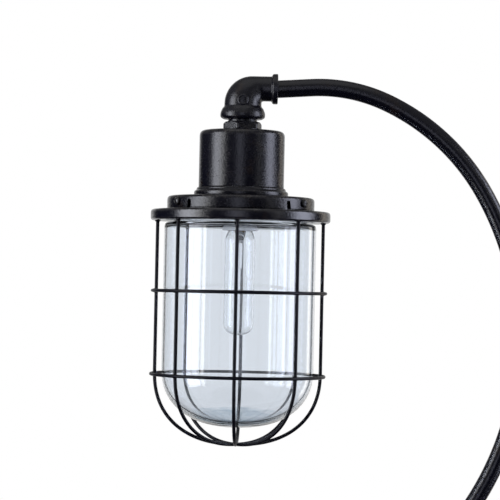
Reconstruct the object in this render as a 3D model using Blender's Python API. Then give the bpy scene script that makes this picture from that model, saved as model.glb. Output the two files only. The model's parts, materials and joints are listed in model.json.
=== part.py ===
"""Arc floor lamp: a weighted round base, a threaded post, one bent tube and a caged jar head.

The post stands on +Z through the origin, which is on the floor under the base. The tube bends in the
XZ plane and the head hangs from its elbow at -X. Units are metres.
"""

import math

import bmesh
import bpy
from mathutils import Matrix, Vector

GAP = 0.0003  # between two pieces that touch
SHEET = 0.0015  # spun steel wall

# Tube and post
TUBE_HEIGHT = 1.590  # centreline of the tube where it meets the elbow
TUBE_RADIUS = 0.0095
TUBE_BORE = 0.0080
TUBE_START = 0.018  # from the head's axis to the end of the tube inside the elbow
# Straight runs are (length, 0); bends are (radius, degrees), and a bend that turns downwards is positive.
TUBE_RUNS = (
    (0.018, 0.0),
    (0.080, -4.0),
    (0.032, 0.0),
    (0.171, 28.0),
    (0.235, 35.5),
    (0.322, 70.5),
    (0.260, -40.0),
    (0.040, 0.0),
)
BEND_STEP = 7.0  # degrees of bend between two rings of the tube
TUBE_SIDES = 12
LEAD_STOPS = (0.75, 0.5, 0.25)  # shares of the post's height where the lead has a point
POST_RADIUS = 0.0125
POST_BORE = 0.0105
POST_SIDES = 16
LOWER_POST_TOP = 0.500
THREAD_FIT = 0.0003  # radial room of a tube in its fitting
COUPLING_LENGTH = 0.044
COUPLING_RADIUS = 0.0170
COUPLING_BEAD = 0.0188
BEAD_DEPTH = 0.006
BEAD_SLOPE = 0.0015  # how far a bead takes to fall to the body
BEAD_ROUND = 0.0012
REDUCER_DEPTH = 0.025  # how far the reducer reaches below the tube's end
REDUCER_HEIGHT = 0.0455
REDUCER_SEAT = 0.024  # where the post's top stands inside the reducer
REDUCER_SHOULDER = 0.020
REDUCER_SHOULDER_ROUND = 0.004
REDUCER_NECK = 0.0145
REDUCER_NECK_LEVEL = 0.030
LEAD_RADIUS = 0.0025

# Base
PAD_RADIUS = 0.142
PAD_THICKNESS = 0.003
BASE_RADIUS = 0.150
BASE_TOP = 0.036
WEIGHT_RADIUS = 0.139
WEIGHT_EDGE = 0.016
WEIGHT_SHOULDER = 0.110
WEIGHT_TOP = 0.0253
BOSS_RADIUS = 0.044
WEIGHT_HOLE = 0.024
COVER_CROWN = ((0.048, BASE_TOP), (0.052, 0.0325), (0.118, 0.0290))  # (radius, level) down to the rim's curve
COVER_RIM = 0.0205
COVER_ROUND = 0.010
LEAD_LEVEL = 0.010  # centreline of the lead in the base
LEAD_BEND = 0.020
GROOVE_HALF = 0.0045  # half the width of the lead's groove in the weight
GROOVE_MIDDLE = 0.085
BUSHING_HOLE = 0.0048
BUSHING_BORE = 0.0030
BUSHING_SHANK = 0.0045
BUSHING_HEAD = 0.0060
BUSHING_START = 0.1450
BUSHING_END = 0.1530
FLANGE_RADIUS = 0.042
FLANGE_PLATE = 0.0052
FLANGE_BOLT_CIRCLE = 0.031
FLANGE_HEIGHT = 0.0277
HUB_FOOT = 0.0235
HUB_FOOT_HEIGHT = 0.005
HUB_WAIST = 0.0180
HUB_BEAD = 0.0195
HUB_BEAD_DEPTH = 0.007
EDGE_ROUND = 0.0015
BOLT_ANGLES = (45.0, 135.0, 225.0, 315.0)
BOLT_RADIUS = 0.0023
BOLT_LENGTH = 0.0238
BOLT_HEAD = ((0.0048, 0.0), (0.0044, 0.0022), (0.0022, 0.0034), (0.0, 0.0036))  # (radius, height)
BOLT_ROOM = 0.0005
CUT_SPARE = 0.002  # how far a cutter passes the face it cuts

# Head, as depths below the tube's centreline and radii from the head's axis
ELBOW_SIDES = 16
ELBOW_ARM_RADIUS = 0.0135
ELBOW_LEG_RADIUS = 0.0200
ELBOW_HEEL_RADIUS = 0.0300
ELBOW_ARM_END = 0.0375
ELBOW_DEPTH = 0.0335
ELBOW_CROTCH = 0.0020  # fillet between the arm and the leg
ELBOW_STEPS = 6
ELBOW_ARM_BORE = 0.0100
ELBOW_LEG_BORE = 0.0133
ELBOW_CORE = 0.0120
ELBOW_CORE_PLACE = (0.006, 0.0, -0.007)
ELBOW_LEAD_BEND = 0.0125
ARM_BEAD = ((0.0, 0.0154), (0.001, 0.0164), (0.005, 0.0164), (0.0063, ELBOW_ARM_RADIUS))  # (inset, radius)
LEG_BEAD = (
    (0.0140, ELBOW_LEG_RADIUS),
    (0.0100, 0.0212),
    (0.0062, 0.0241),
    (0.0030, 0.0241),
    (0.0010, 0.0224),
    (0.0, 0.0206),
)  # (height above the leg's mouth, radius)
HEX_RADIUS = 0.0219  # across the corners
HEX_TURN = 16.6  # degrees from a corner on +X
HEX_TOP = 0.0370
HEX_CHAMFER = 0.0192
HEX_CHAMFER_DEPTH = 0.0040
HEX_NECK = 0.0163
HEX_BODY = 0.0180  # round body inside the hexagon
HEX_DEPTH = 0.0448
HEX_FACE = 0.0194  # round washer face below the hexagon
HEX_FACE_DEPTH = 0.0010
SPIGOT_RADIUS = 0.0124
SPIGOT_TOP = 0.0200
NIPPLE_RADIUS = 0.0060
NIPPLE_BORE = 0.0040
NIPPLE_HOLE = 0.0063
NIPPLE_TOP = 0.0300
NIPPLE_DEPTH = 0.0580
CLAMP_RADIUS = 0.0100  # lock washer and lock nut
NUT_HEIGHT = 0.005
CUP_RADIUS = 0.0460
CUP_CROWN = 0.030  # where the cup's top begins to fall
CUP_ROUND = 0.006
CUP_INNER_CORNER = 0.0030
CUP_DEPTH = 0.1075
STEP_RADIUS = 0.0508
STEP_BORE = 0.043
STEP_ROUND = 0.0035
STEP_DEPTH = 0.1170
COLLAR_BORE = 0.042
COLLAR_ROUND = 0.004
COLLAR_RADIUS = 0.0794
COLLAR_DEPTH = 0.1312
COLLAR_SCREW_DEPTH = 0.1245
COLLAR_SCREW_ANGLES = (-147.0, -33.0, 90.0)
COLLAR_SCREW_RADIUS = 0.0020
COLLAR_SCREW_LENGTH = 0.0032
COLLAR_SCREW_HEAD = ((0.0038, 0.0), (0.0035, 0.0026), (0.0, 0.0031))  # (radius, height)
VENT_ANGLES = (-133.0, -50.5, 47.0, 129.5)
VENT_TOP = 0.1225
VENT_HALF_TOP = 0.0020
VENT_HALF_BOTTOM = 0.0042
RING_RADIUS = 0.0970
RING_TOP = 0.1323
RING_DEPTH = 0.1442
RING_BORE = 0.0715
RING_ROUND = 0.003
UPSTAND_RADIUS = 0.0762
UPSTAND_TOP = 0.1212
LEDGE_DEPTH = 0.1300
SOCKET_RADIUS = 0.0195
SOCKET_TOP = 0.0840
SOCKET_DEPTH = 0.1539
SOCKET_FLOOR = 0.1130
SOCKET_BORE = 0.0146
SOCKET_SIDES = 20
LEAD_HOLE = 0.0030
SHELL_RADIUS = 0.0143
SHELL_BORE = 0.0138
SHELL_TOP = 0.1150
SHELL_DEPTH = 0.1520
CONTACT_RADIUS = 0.0055
CONTACT_TOP = 0.1133
CONTACT_THICKNESS = 0.0010
BRACKET_REACH = 0.0217
BRACKET_TOP = 0.0484
BRACKET_DEPTH = 0.0980
BRACKET_WIDTH = 0.016
BRACKET_SCREW_DEPTH = 0.0910
BRACKET_SCREW_REACH = 0.0150
SMALL_SCREW_RADIUS = 0.0018
BRACKET_SCREW = ((0.0036, 0.0070), (0.0029, 0.0093))  # (radius, height) of the head's two edges
TERMINAL_SCREW = ((0.0034, 0.0063), (0.0030, 0.0085))
TERMINAL_REACH = 0.011
TERMINAL_SINK = 0.006

# Glass and cage
JAR_RADIUS = 0.0820
JAR_NECK = 0.0710
JAR_LIP = 0.0743
JAR_LIP_TOP = 0.1245
JAR_LIP_DEPTH = 0.1284
JAR_SHOULDER = 0.1464
JAR_DEPTH = 0.3656
JAR_ROUND = 0.0637  # height of the jar's rounded bottom
JAR_WALL = 0.0030
JAR_FLOOR = 0.0045
JAR_CORNER = 0.004
JAR_SLOPE = 0.0014  # fall of the inner shoulder
JAR_NECK_ROUND = 0.002
JAR_LIP_ROUND = 0.001
NECK_CLEARANCE = 0.0008  # from the ring's underside to the start of the shoulder
GASKET_ROOM = 0.0002
SQUARENESS = 2.3  # exponent of the rounded bottoms; 2 is an ellipse
ROD_CIRCLE = 0.0894
ROD_RADIUS = 0.0019
ROD_ROUND = 0.0779
CAGE_DEPTH = 0.3839
CAGE_TURN = -1.8  # degrees that the cage is turned from square to the tube
ROD_COUNT = 8
ROD_END = 0.0062  # how near the axis a short rod stops
HOOP_DEPTHS = (0.2198, 0.3094)
HOOP_CIRCLE = 0.0933
HOOP_RADIUS = 0.0018
HOOP_SIDES = 6

# Bulb
CAP_RADIUS = 0.0131
CAP_TOP = 0.1165
CAP_DEPTH = 0.1415
BULB_RADIUS = 0.0165
BULB_NECK = 0.0125
BULB_DEPTH = 0.2662
BULB_ROUND = 0.0150
BULB_WALL = 0.0010
BULB_NECK_DEPTH = 0.1540
BULB_SHOULDER = 0.1610
BULB_CORNER = 0.005
BULB_NECK_ROUND = 0.003
CAP_SLOPE = 0.004
CAP_TIP = 0.0080
CONTACT_TIP = ((0.0040, 0.0003), (0.0030, 0.0015))  # (radius, height above the cap)
STEM = ((0.0, 0.1950), (0.0025, 0.1950), (0.0030, 0.1680), (0.0090, 0.1450), (0.0090, 0.1430), (0.0, 0.1430))
FILAMENT_STRANDS = 6
FILAMENT_CIRCLE = 0.0070
FILAMENT_DEPTHS = (0.1975, 0.2450)
FILAMENT_SPREAD = 300.0  # degrees from the first strand to the last
FILAMENT_RADIUS = 0.0003

ROUND_SIDES = 32
SMALL_SIDES = 16
HOLE_SIDES = 12
SCREW_SIDES = 8
BOWL_STEPS = 6
ROD_STEPS = 9
SMALL_BOWL_STEPS = 4
LEAD_STEPS = 5
FILLET_STEPS = 2


def clear_scene():
    for obj in list(bpy.data.objects):
        bpy.data.objects.remove(obj, do_unlink=True)


def finish(name, colour, roughness, metallic, alpha=1.0):
    """A Principled material."""
    made = bpy.data.materials.new(name)
    made.use_nodes = True
    shader = made.node_tree.nodes["Principled BSDF"]
    shader.inputs["Base Color"].default_value = (*colour, 1.0)
    shader.inputs["Roughness"].default_value = roughness
    shader.inputs["Metallic"].default_value = metallic
    shader.inputs["Alpha"].default_value = alpha
    return made


FINISHES = {
    "aged_iron": ((0.030, 0.028, 0.028), 0.42, 0.6),
    "rod_steel": ((0.020, 0.018, 0.018), 0.45, 0.6),
    "cast_iron": ((0.10, 0.10, 0.10), 0.75, 0.7),
    "zinc_steel": ((0.55, 0.55, 0.56), 0.35, 1.0),
    "black_screw": ((0.045, 0.042, 0.040), 0.38, 0.9),
    "brass": ((0.70, 0.50, 0.22), 0.30, 1.0),
    "porcelain": ((0.62, 0.63, 0.63), 0.30, 0.0),
    "jar_glass": ((0.85, 0.90, 0.94), 0.02, 0.0, 0.3),
    "bulb_glass": ((0.95, 0.96, 0.97), 0.02, 0.0, 0.3),
    "tungsten": ((0.25, 0.24, 0.23), 0.5, 1.0),
    "rubber": ((0.03, 0.03, 0.03), 0.8, 0.0),
    "silicone": ((0.75, 0.76, 0.77), 0.6, 0.0),
    "lead_sleeve": ((0.05, 0.05, 0.05), 0.6, 0.0),
}


def add_object(name, mesh, slot, parent=None, location=(0, 0, 0), turn=(0, 0, 0)):
    """A named object from a bmesh, with its own material."""
    data = bpy.data.meshes.new(name)
    mesh.to_mesh(data)
    mesh.free()
    data.shade_smooth()
    data.set_sharp_from_angle(angle=math.radians(30))
    data.materials.append(finish(f"{name}_{slot}", *FINISHES[slot]))
    obj = bpy.data.objects.new(name, data)
    bpy.context.scene.collection.objects.link(obj)
    obj.location = location
    obj.rotation_euler = turn
    obj.parent = parent
    return obj


def add_empty(name, parent=None, location=(0, 0, 0)):
    empty = bpy.data.objects.new(name, None)
    bpy.context.scene.collection.objects.link(empty)
    empty.location = location
    empty.parent = parent
    return empty


def rounded(corners):
    """Outline points from (x, y) or (x, y, fillet) corners; a fillet becomes a short curve."""
    points = []
    for index, corner in enumerate(corners):
        here = Vector(corner[:2])
        if len(corner) < 3:
            points.append(here)
            continue
        before = Vector(corners[index - 1][:2])
        after = Vector(corners[(index + 1) % len(corners)][:2])
        start = here + (before - here).normalized() * corner[2]
        end = here + (after - here).normalized() * corner[2]
        for step in range(FILLET_STEPS + 1):
            t = step / FILLET_STEPS
            points.append(start * (1 - t) ** 2 + here * 2 * t * (1 - t) + end * t * t)
    return [tuple(point) for point in points]


def bowl(radius, height, bottom, steps):
    """The rounded bottom of a jar or bulb: a quarter of a superellipse, from its rim down to its pole."""
    power = 2 / SQUARENESS
    points = []
    for step in range(1, steps):
        angle = math.pi / 2 * step / steps
        across = radius * math.cos(angle) ** power
        down = height * math.sin(angle) ** power
        points.append((across, bottom + height - down))
    return [*points, (0.0, bottom)]


def turned(name, outline, slot, sides=ROUND_SIDES, closed=True, **placing):
    """An outline of (radius, z) points spun about Z: a ring if closed, or a solid from pole to pole."""
    mesh = bmesh.new()
    points = [mesh.verts.new((radius, 0, z)) for radius, z in outline]
    ends = points[1:] + points[:1] if closed else points[1:]
    edges = [mesh.edges.new(pair) for pair in zip(points, ends)]
    bmesh.ops.spin(
        mesh, geom=points + edges, axis=(0, 0, 1), angle=math.tau, steps=sides, use_merge=True
    )
    bmesh.ops.remove_doubles(mesh, verts=mesh.verts, dist=1e-6)
    bmesh.ops.recalc_face_normals(mesh, faces=mesh.faces)
    return add_object(name, mesh, slot, **placing)


def tube_of(radius, bore, low, high):
    """The outline of a plain tube or washer."""
    return [(bore, low), (radius, low), (radius, high), (bore, high)]


def lofted(name, sections, slot, sides, bore=None, **placing):
    """Rings of (centre, direction, radius) in the XZ plane, skinned; a bore makes it an open tube."""
    mesh = bmesh.new()

    def ring(centre, direction, radius):
        across = Vector((0, 1, 0))
        up = direction.cross(across)
        verts = []
        for side in range(sides):
            angle = math.tau * side / sides
            verts.append(mesh.verts.new(centre + radius * (math.cos(angle) * across + math.sin(angle) * up)))
        return verts

    def skin(first, second):
        for side in range(sides):
            after = (side + 1) % sides
            mesh.faces.new((first[side], first[after], second[after], second[side]))

    outer = [ring(*section) for section in sections]
    for first, second in zip(outer, outer[1:]):
        skin(first, second)
    if bore is None:
        mesh.faces.new(outer[0])
        mesh.faces.new(outer[-1])
    else:
        inner = [ring(centre, direction, bore) for centre, direction, _ in sections]
        for first, second in zip(inner, inner[1:]):
            skin(first, second)
        skin(outer[0], inner[0])
        skin(outer[-1], inner[-1])
    bmesh.ops.recalc_face_normals(mesh, faces=mesh.faces)
    return add_object(name, mesh, slot, **placing)


def prism(name, outline, depth, slot, **placing):
    """An (x, z) outline extruded along Y by depth, half of it each way."""
    mesh = bmesh.new()
    face = mesh.faces.new([mesh.verts.new((x, -depth / 2, z)) for x, z in outline])
    grown = bmesh.ops.extrude_face_region(mesh, geom=[face])["geom"]
    moved = [item for item in grown if isinstance(item, bmesh.types.BMVert)]
    bmesh.ops.translate(mesh, verts=moved, vec=(0, depth, 0))
    bmesh.ops.recalc_face_normals(mesh, faces=mesh.faces)
    return add_object(name, mesh, slot, **placing)


def wire(name, points, radius, slot, smooth=1, parent=None):
    """A round wire or lead along points: a curve with a bevel and filled caps."""
    curve = bpy.data.curves.new(name, "CURVE")
    curve.dimensions = "3D"
    curve.bevel_depth = radius
    curve.bevel_resolution = smooth
    curve.use_fill_caps = True
    spline = curve.splines.new("POLY")
    spline.points.add(len(points) - 1)
    for point, place in zip(spline.points, points):
        point.co = (*place, 1.0)
    curve.materials.append(finish(f"{name}_{slot}", *FINISHES[slot]))
    obj = bpy.data.objects.new(name, curve)
    bpy.context.scene.collection.objects.link(obj)
    obj.parent = parent
    return obj


def join_shape(target, helper, operation):
    """Adds or removes a hidden helper's shape."""
    helper.hide_render = True
    helper.display_type = "WIRE"
    boolean = target.modifiers.new(f"{operation.lower()}_{helper.name}", "BOOLEAN")
    boolean.operation = operation
    boolean.solver = "EXACT"
    boolean.object = helper


def drill(target, start, end, radius, sides=HOLE_SIDES, parent=None):
    """Cuts a round hole from start to end, both in the target's parent's frame."""
    start, end = Vector(start), Vector(end)
    mesh = bmesh.new()
    way = Vector((0, 0, 1)).rotation_difference(end - start).to_matrix().to_4x4()
    place = Matrix.Translation((start + end) / 2) @ way
    length = (end - start).length
    bmesh.ops.create_cone(
        mesh, cap_ends=True, segments=sides, radius1=radius, radius2=radius, depth=length, matrix=place
    )
    count = len(target.modifiers)
    helper = add_object(f"{target.name}_drill_{count}", mesh, "cast_iron", parent=parent)
    join_shape(target, helper, "DIFFERENCE")


def around(radius, degrees, z):
    """A point at a radius and an angle from +X."""
    angle = math.radians(degrees)
    return Vector((radius * math.cos(angle), radius * math.sin(angle), z))


def tube_route():
    """(points, directions) of the bent tube's centreline, from the elbow to the post, from the head's axis."""
    place = Vector((TUBE_START, 0, 0))
    heading = 0.0
    points, directions = [place.copy()], [Vector((1, 0, 0))]
    for size, sweep in TUBE_RUNS:
        steps = max(1, round(abs(sweep) / BEND_STEP))
        turn = math.radians(sweep) / steps
        chord = size if sweep == 0 else 2 * size * math.sin(abs(turn) / 2)
        for _ in range(steps):
            place = place + chord * Vector((math.cos(heading + turn / 2), 0, -math.sin(heading + turn / 2)))
            heading += turn
            points.append(place.copy())
            directions.append(Vector((math.cos(heading), 0, -math.sin(heading))))
    return points, directions


ROUTE, ROUTE_DIRECTIONS = tube_route()
HEAD_X = -ROUTE[-1].x  # puts the end of the tube on the post's axis
HEAD_PLACE = Vector((HEAD_X, 0, TUBE_HEIGHT))
TUBE_END = TUBE_HEIGHT + ROUTE[-1].z


def make_base():
    boss_top = BASE_TOP - SHEET - GAP
    pad = [(0, 0), (PAD_RADIUS, 0), (PAD_RADIUS, PAD_THICKNESS), (0, PAD_THICKNESS)]
    turned("base_pad", pad, "rubber", closed=False)
    low = PAD_THICKNESS + GAP
    weight = turned(
        "base_weight",
        [
            (WEIGHT_HOLE, low),
            (WEIGHT_RADIUS, low),
            (WEIGHT_RADIUS, WEIGHT_EDGE),
            (WEIGHT_SHOULDER, WEIGHT_TOP),
            (BOSS_RADIUS, WEIGHT_TOP),
            (BOSS_RADIUS, boss_top),
            (WEIGHT_HOLE, boss_top),
        ],
        "cast_iron",
    )
    groove_top = LEAD_LEVEL + GROOVE_HALF
    groove = [(-GROOVE_HALF, 0), (GROOVE_HALF, 0), (GROOVE_HALF, groove_top), (-GROOVE_HALF, groove_top)]
    cutter = prism("groove_cutter", groove, WEIGHT_RADIUS, "cast_iron", location=(0, GROOVE_MIDDLE, 0))
    join_shape(weight, cutter, "DIFFERENCE")
    crown_inside = [(radius - SHEET / 2, level - SHEET) for radius, level in COVER_CROWN]
    cover = turned(
        "base_cover",
        rounded(
            [
                (POST_BORE, BASE_TOP),
                (POST_BORE, BASE_TOP - SHEET),
                *crown_inside,
                (BASE_RADIUS - SHEET, COVER_RIM - SHEET),
                (BASE_RADIUS - SHEET, low),
                (BASE_RADIUS, low),
                (BASE_RADIUS, COVER_RIM, COVER_ROUND),
                *reversed(COVER_CROWN),
            ]
        ),
        "aged_iron",
    )
    start, end = (0, BASE_RADIUS - 5 * CUT_SPARE, LEAD_LEVEL), (0, BASE_RADIUS + CUT_SPARE, LEAD_LEVEL)
    drill(cover, start, end, BUSHING_HOLE)
    bushing = [
        (BUSHING_BORE, BUSHING_START),
        (BUSHING_SHANK, BUSHING_START),
        (BUSHING_SHANK, BASE_RADIUS + GAP),
        (BUSHING_HEAD, BASE_RADIUS + GAP),
        (BUSHING_HEAD, BUSHING_END, EDGE_ROUND / 2),
        (BUSHING_BORE, BUSHING_END),
    ]
    across = (-math.pi / 2, 0, 0)
    place = (0, 0, LEAD_LEVEL)
    turned("cord_bushing", rounded(bushing), "rubber", sides=HOLE_SIDES, location=place, turn=across)
    flange_low = BASE_TOP + GAP
    plate_top = flange_low + FLANGE_PLATE
    hub_top = flange_low + FLANGE_HEIGHT
    bore = POST_RADIUS + THREAD_FIT
    flange = turned(
        "floor_flange",
        rounded(
            [
                (bore, flange_low),
                (FLANGE_RADIUS, flange_low),
                (FLANGE_RADIUS, plate_top, EDGE_ROUND),
                (HUB_FOOT, plate_top),
                (HUB_WAIST, plate_top + HUB_FOOT_HEIGHT),
                (HUB_WAIST, hub_top - HUB_BEAD_DEPTH - BEAD_SLOPE),
                (HUB_BEAD, hub_top - HUB_BEAD_DEPTH),
                (HUB_BEAD, hub_top, EDGE_ROUND),
                (bore, hub_top),
            ]
        ),
        "aged_iron",
        sides=POST_SIDES,
    )
    bolt_bottom = plate_top + GAP - BOLT_LENGTH
    bolt = [(0, 0), (BOLT_RADIUS, 0), (BOLT_RADIUS, BOLT_LENGTH)]
    bolt += [(radius, BOLT_LENGTH + height) for radius, height in BOLT_HEAD]
    for number, angle in enumerate(BOLT_ANGLES, start=1):
        place = around(FLANGE_BOLT_CIRCLE, angle, bolt_bottom)
        low_end = place - Vector((0, 0, CUT_SPARE))
        high_end = place + Vector((0, 0, BOLT_LENGTH + CUT_SPARE))
        for target in (flange, cover, weight):
            drill(target, low_end, high_end, BOLT_RADIUS + BOLT_ROOM)
        name = f"flange_bolt_{number}"
        turned(name, bolt, "black_screw", sides=HOLE_SIDES, closed=False, location=place)


def make_post():
    bore = POST_RADIUS + THREAD_FIT
    reducer_low = TUBE_END - REDUCER_DEPTH
    reducer_seat = reducer_low + REDUCER_SEAT
    lower = tube_of(POST_RADIUS, POST_BORE, BASE_TOP + GAP, LOWER_POST_TOP)
    turned("lower_post", lower, "aged_iron", sides=POST_SIDES)
    upper = tube_of(POST_RADIUS, POST_BORE, LOWER_POST_TOP + 2 * GAP, reducer_seat - GAP)
    turned("upper_post", upper, "aged_iron", sides=POST_SIDES)
    low = LOWER_POST_TOP - COUPLING_LENGTH / 2
    high = LOWER_POST_TOP + COUPLING_LENGTH / 2
    slope_end = BEAD_DEPTH + BEAD_SLOPE
    coupling = [
        (bore, low),
        (COUPLING_BEAD, low, BEAD_ROUND),
        (COUPLING_BEAD, low + BEAD_DEPTH),
        (COUPLING_RADIUS, low + slope_end),
        (COUPLING_RADIUS, high - slope_end),
        (COUPLING_BEAD, high - BEAD_DEPTH),
        (COUPLING_BEAD, high, BEAD_ROUND),
        (bore, high),
    ]
    turned("post_coupling", rounded(coupling), "aged_iron", sides=POST_SIDES)
    small_bore = TUBE_RADIUS + THREAD_FIT
    small_bead = REDUCER_NECK + BEAD_SLOPE
    reducer_high = reducer_low + REDUCER_HEIGHT
    reducer = [
        (bore, reducer_low),
        (COUPLING_BEAD, reducer_low, BEAD_ROUND),
        (COUPLING_BEAD, reducer_low + BEAD_DEPTH),
        (COUPLING_RADIUS, reducer_low + slope_end),
        (COUPLING_RADIUS, reducer_low + REDUCER_SHOULDER, REDUCER_SHOULDER_ROUND),
        (REDUCER_NECK, reducer_low + REDUCER_NECK_LEVEL),
        (REDUCER_NECK, reducer_high - slope_end),
        (small_bead, reducer_high - BEAD_DEPTH),
        (small_bead, reducer_high, BEAD_ROUND),
        (small_bore, reducer_high),
        (small_bore, reducer_seat),
        (bore, reducer_seat),
    ]
    turned("reducing_coupling", rounded(reducer), "aged_iron", sides=POST_SIDES)


def make_tube():
    sections = [(HEAD_PLACE + point, way, TUBE_RADIUS) for point, way in zip(ROUTE, ROUTE_DIRECTIONS)]
    lofted("arc_tube", sections, "aged_iron", TUBE_SIDES, bore=TUBE_BORE)
    lead = [HEAD_PLACE + point for point in ROUTE]
    lead += [Vector((0, 0, TUBE_END * share)) for share in LEAD_STOPS]
    for step in range(LEAD_STEPS):
        angle = math.pi / 2 * step / (LEAD_STEPS - 1)
        across = LEAD_BEND * (1 - math.cos(angle))
        level = LEAD_LEVEL + LEAD_BEND * (1 - math.sin(angle))
        lead.append(Vector((0, across, level)))
    lead.append(Vector((0, BUSHING_START, LEAD_LEVEL)))
    wire("lead_in_stand", lead, LEAD_RADIUS, "lead_sleeve", smooth=2)


def heel_reach(crotch, heel, way):
    """How far the heel is from the crotch along a unit direction: its arc, then the arm's straight top."""
    offset = crotch - heel
    along = offset.dot(way)
    reach = -along + math.sqrt(along * along - offset.length_squared + ELBOW_HEEL_RADIUS**2)
    past_arc = (crotch + way * reach).x > heel.x
    return (ELBOW_ARM_RADIUS - crotch.z) / way.z if past_arc else reach


def make_elbow(pivot):
    """Each ring across the heel is a circle from the crotch out to the heel, so the arm grows into the leg."""
    crotch = Vector((ELBOW_LEG_RADIUS + ELBOW_CROTCH, 0, -ELBOW_ARM_RADIUS - ELBOW_CROTCH))
    heel = Vector((ELBOW_HEEL_RADIUS - ELBOW_LEG_RADIUS, 0, ELBOW_ARM_RADIUS - ELBOW_HEEL_RADIUS))
    sections = []
    for back, radius in ARM_BEAD:
        sections.append((Vector((ELBOW_ARM_END - back, 0, 0)), Vector((-1, 0, 0)), radius))
    for step in range(ELBOW_STEPS + 1):
        angle = math.pi / 2 * step / ELBOW_STEPS
        way = Vector((-math.sin(angle), 0, math.cos(angle)))
        reach = heel_reach(crotch, heel, way)
        centre = crotch + way * (reach + ELBOW_CROTCH) / 2
        sections.append((centre, Vector((-way.z, 0, way.x)), (reach - ELBOW_CROTCH) / 2))
    for height, radius in LEG_BEAD:
        sections.append((Vector((0, 0, height - ELBOW_DEPTH)), Vector((0, 0, -1)), radius))
    elbow = lofted("elbow", sections, "aged_iron", ELBOW_SIDES, parent=pivot)
    arm_mouth = (ELBOW_ARM_END + CUT_SPARE, 0, 0)
    leg_mouth = (0, 0, -ELBOW_DEPTH - CUT_SPARE)
    core_x, _, core_z = ELBOW_CORE_PLACE
    drill(elbow, (core_x, 0, 0), arm_mouth, ELBOW_ARM_BORE, SMALL_SIDES, pivot)
    drill(elbow, (0, 0, core_z), leg_mouth, ELBOW_LEG_BORE, ELBOW_SIDES, pivot)
    ball = bmesh.new()
    bmesh.ops.create_uvsphere(ball, u_segments=HOLE_SIDES, v_segments=SCREW_SIDES, radius=ELBOW_CORE)
    core = add_object("elbow_core", ball, "cast_iron", parent=pivot, location=ELBOW_CORE_PLACE)
    join_shape(elbow, core, "DIFFERENCE")
    lead = [Vector((TUBE_START - GAP, 0, 0))]
    for step in range(LEAD_STEPS + 1):
        angle = math.pi / 2 * step / LEAD_STEPS
        across = ELBOW_LEAD_BEND * (1 - math.sin(angle))
        lead.append(Vector((across, 0, -ELBOW_LEAD_BEND * (1 - math.cos(angle)))))
    lead.append(Vector((0, 0, -NIPPLE_TOP)))
    wire("lead_in_elbow", lead, LEAD_RADIUS, "lead_sleeve", smooth=2, parent=pivot)


def make_fitting(pivot):
    """The hexagon bushing, the threaded nipple and what they clamp."""
    shoulder = -ELBOW_DEPTH - GAP
    face_top = -HEX_DEPTH + HEX_FACE_DEPTH
    body = [
        (NIPPLE_HOLE, -SPIGOT_TOP),
        (NIPPLE_HOLE, -HEX_DEPTH),
        (HEX_FACE, -HEX_DEPTH),
        (HEX_FACE, face_top),
        (HEX_BODY, face_top + GAP),
        (HEX_BODY, -HEX_TOP - GAP),
        (HEX_NECK, -HEX_TOP),
        (HEX_NECK, shoulder),
        (SPIGOT_RADIUS, shoulder),
        (SPIGOT_RADIUS, -SPIGOT_TOP),
    ]
    bushing = turned("hex_bushing", body, "aged_iron", sides=ELBOW_SIDES, parent=pivot)
    hexagon = [
        (NIPPLE_RADIUS + CUT_SPARE, face_top),
        (HEX_RADIUS, face_top),
        (HEX_RADIUS, -HEX_TOP - HEX_CHAMFER_DEPTH),
        (HEX_CHAMFER, -HEX_TOP),
        (NIPPLE_RADIUS + CUT_SPARE, -HEX_TOP),
    ]
    turn = (0, 0, math.radians(HEX_TURN))
    flats = turned("bushing_hexagon", hexagon, "aged_iron", sides=6, parent=pivot, turn=turn)
    join_shape(bushing, flats, "UNION")
    nipple = tube_of(NIPPLE_RADIUS, NIPPLE_BORE, -NIPPLE_DEPTH, -NIPPLE_TOP)
    turned("threaded_nipple", nipple, "zinc_steel", sides=HOLE_SIDES, parent=pivot)
    washer = tube_of(CLAMP_RADIUS, NIPPLE_HOLE + GAP, -BRACKET_TOP + GAP, -BRACKET_TOP + SHEET)
    turned("lock_washer", washer, "zinc_steel", sides=HOLE_SIDES, parent=pivot)
    nut_top = BRACKET_TOP + SHEET + GAP
    nut_hole = NIPPLE_HOLE / math.cos(math.pi / 6)
    nut = tube_of(CLAMP_RADIUS, nut_hole, -nut_top - NUT_HEIGHT, -nut_top)
    turned("lock_nut", nut, "brass", sides=6, parent=pivot)
    lead = [Vector((0, 0, -depth)) for depth in (NIPPLE_TOP + GAP, NIPPLE_DEPTH, SOCKET_FLOOR - LEAD_LEVEL)]
    wire("lead_in_head", lead, LEAD_RADIUS, "lead_sleeve", smooth=2, parent=pivot)


def screw_outline(shank, head):
    """A screw from its tip up: the shank, then a head given by the (radius, height) of its two edges."""
    return [(0, 0), (shank, 0), (shank, head[0][1]), *head, (0, head[1][1])]


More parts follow.
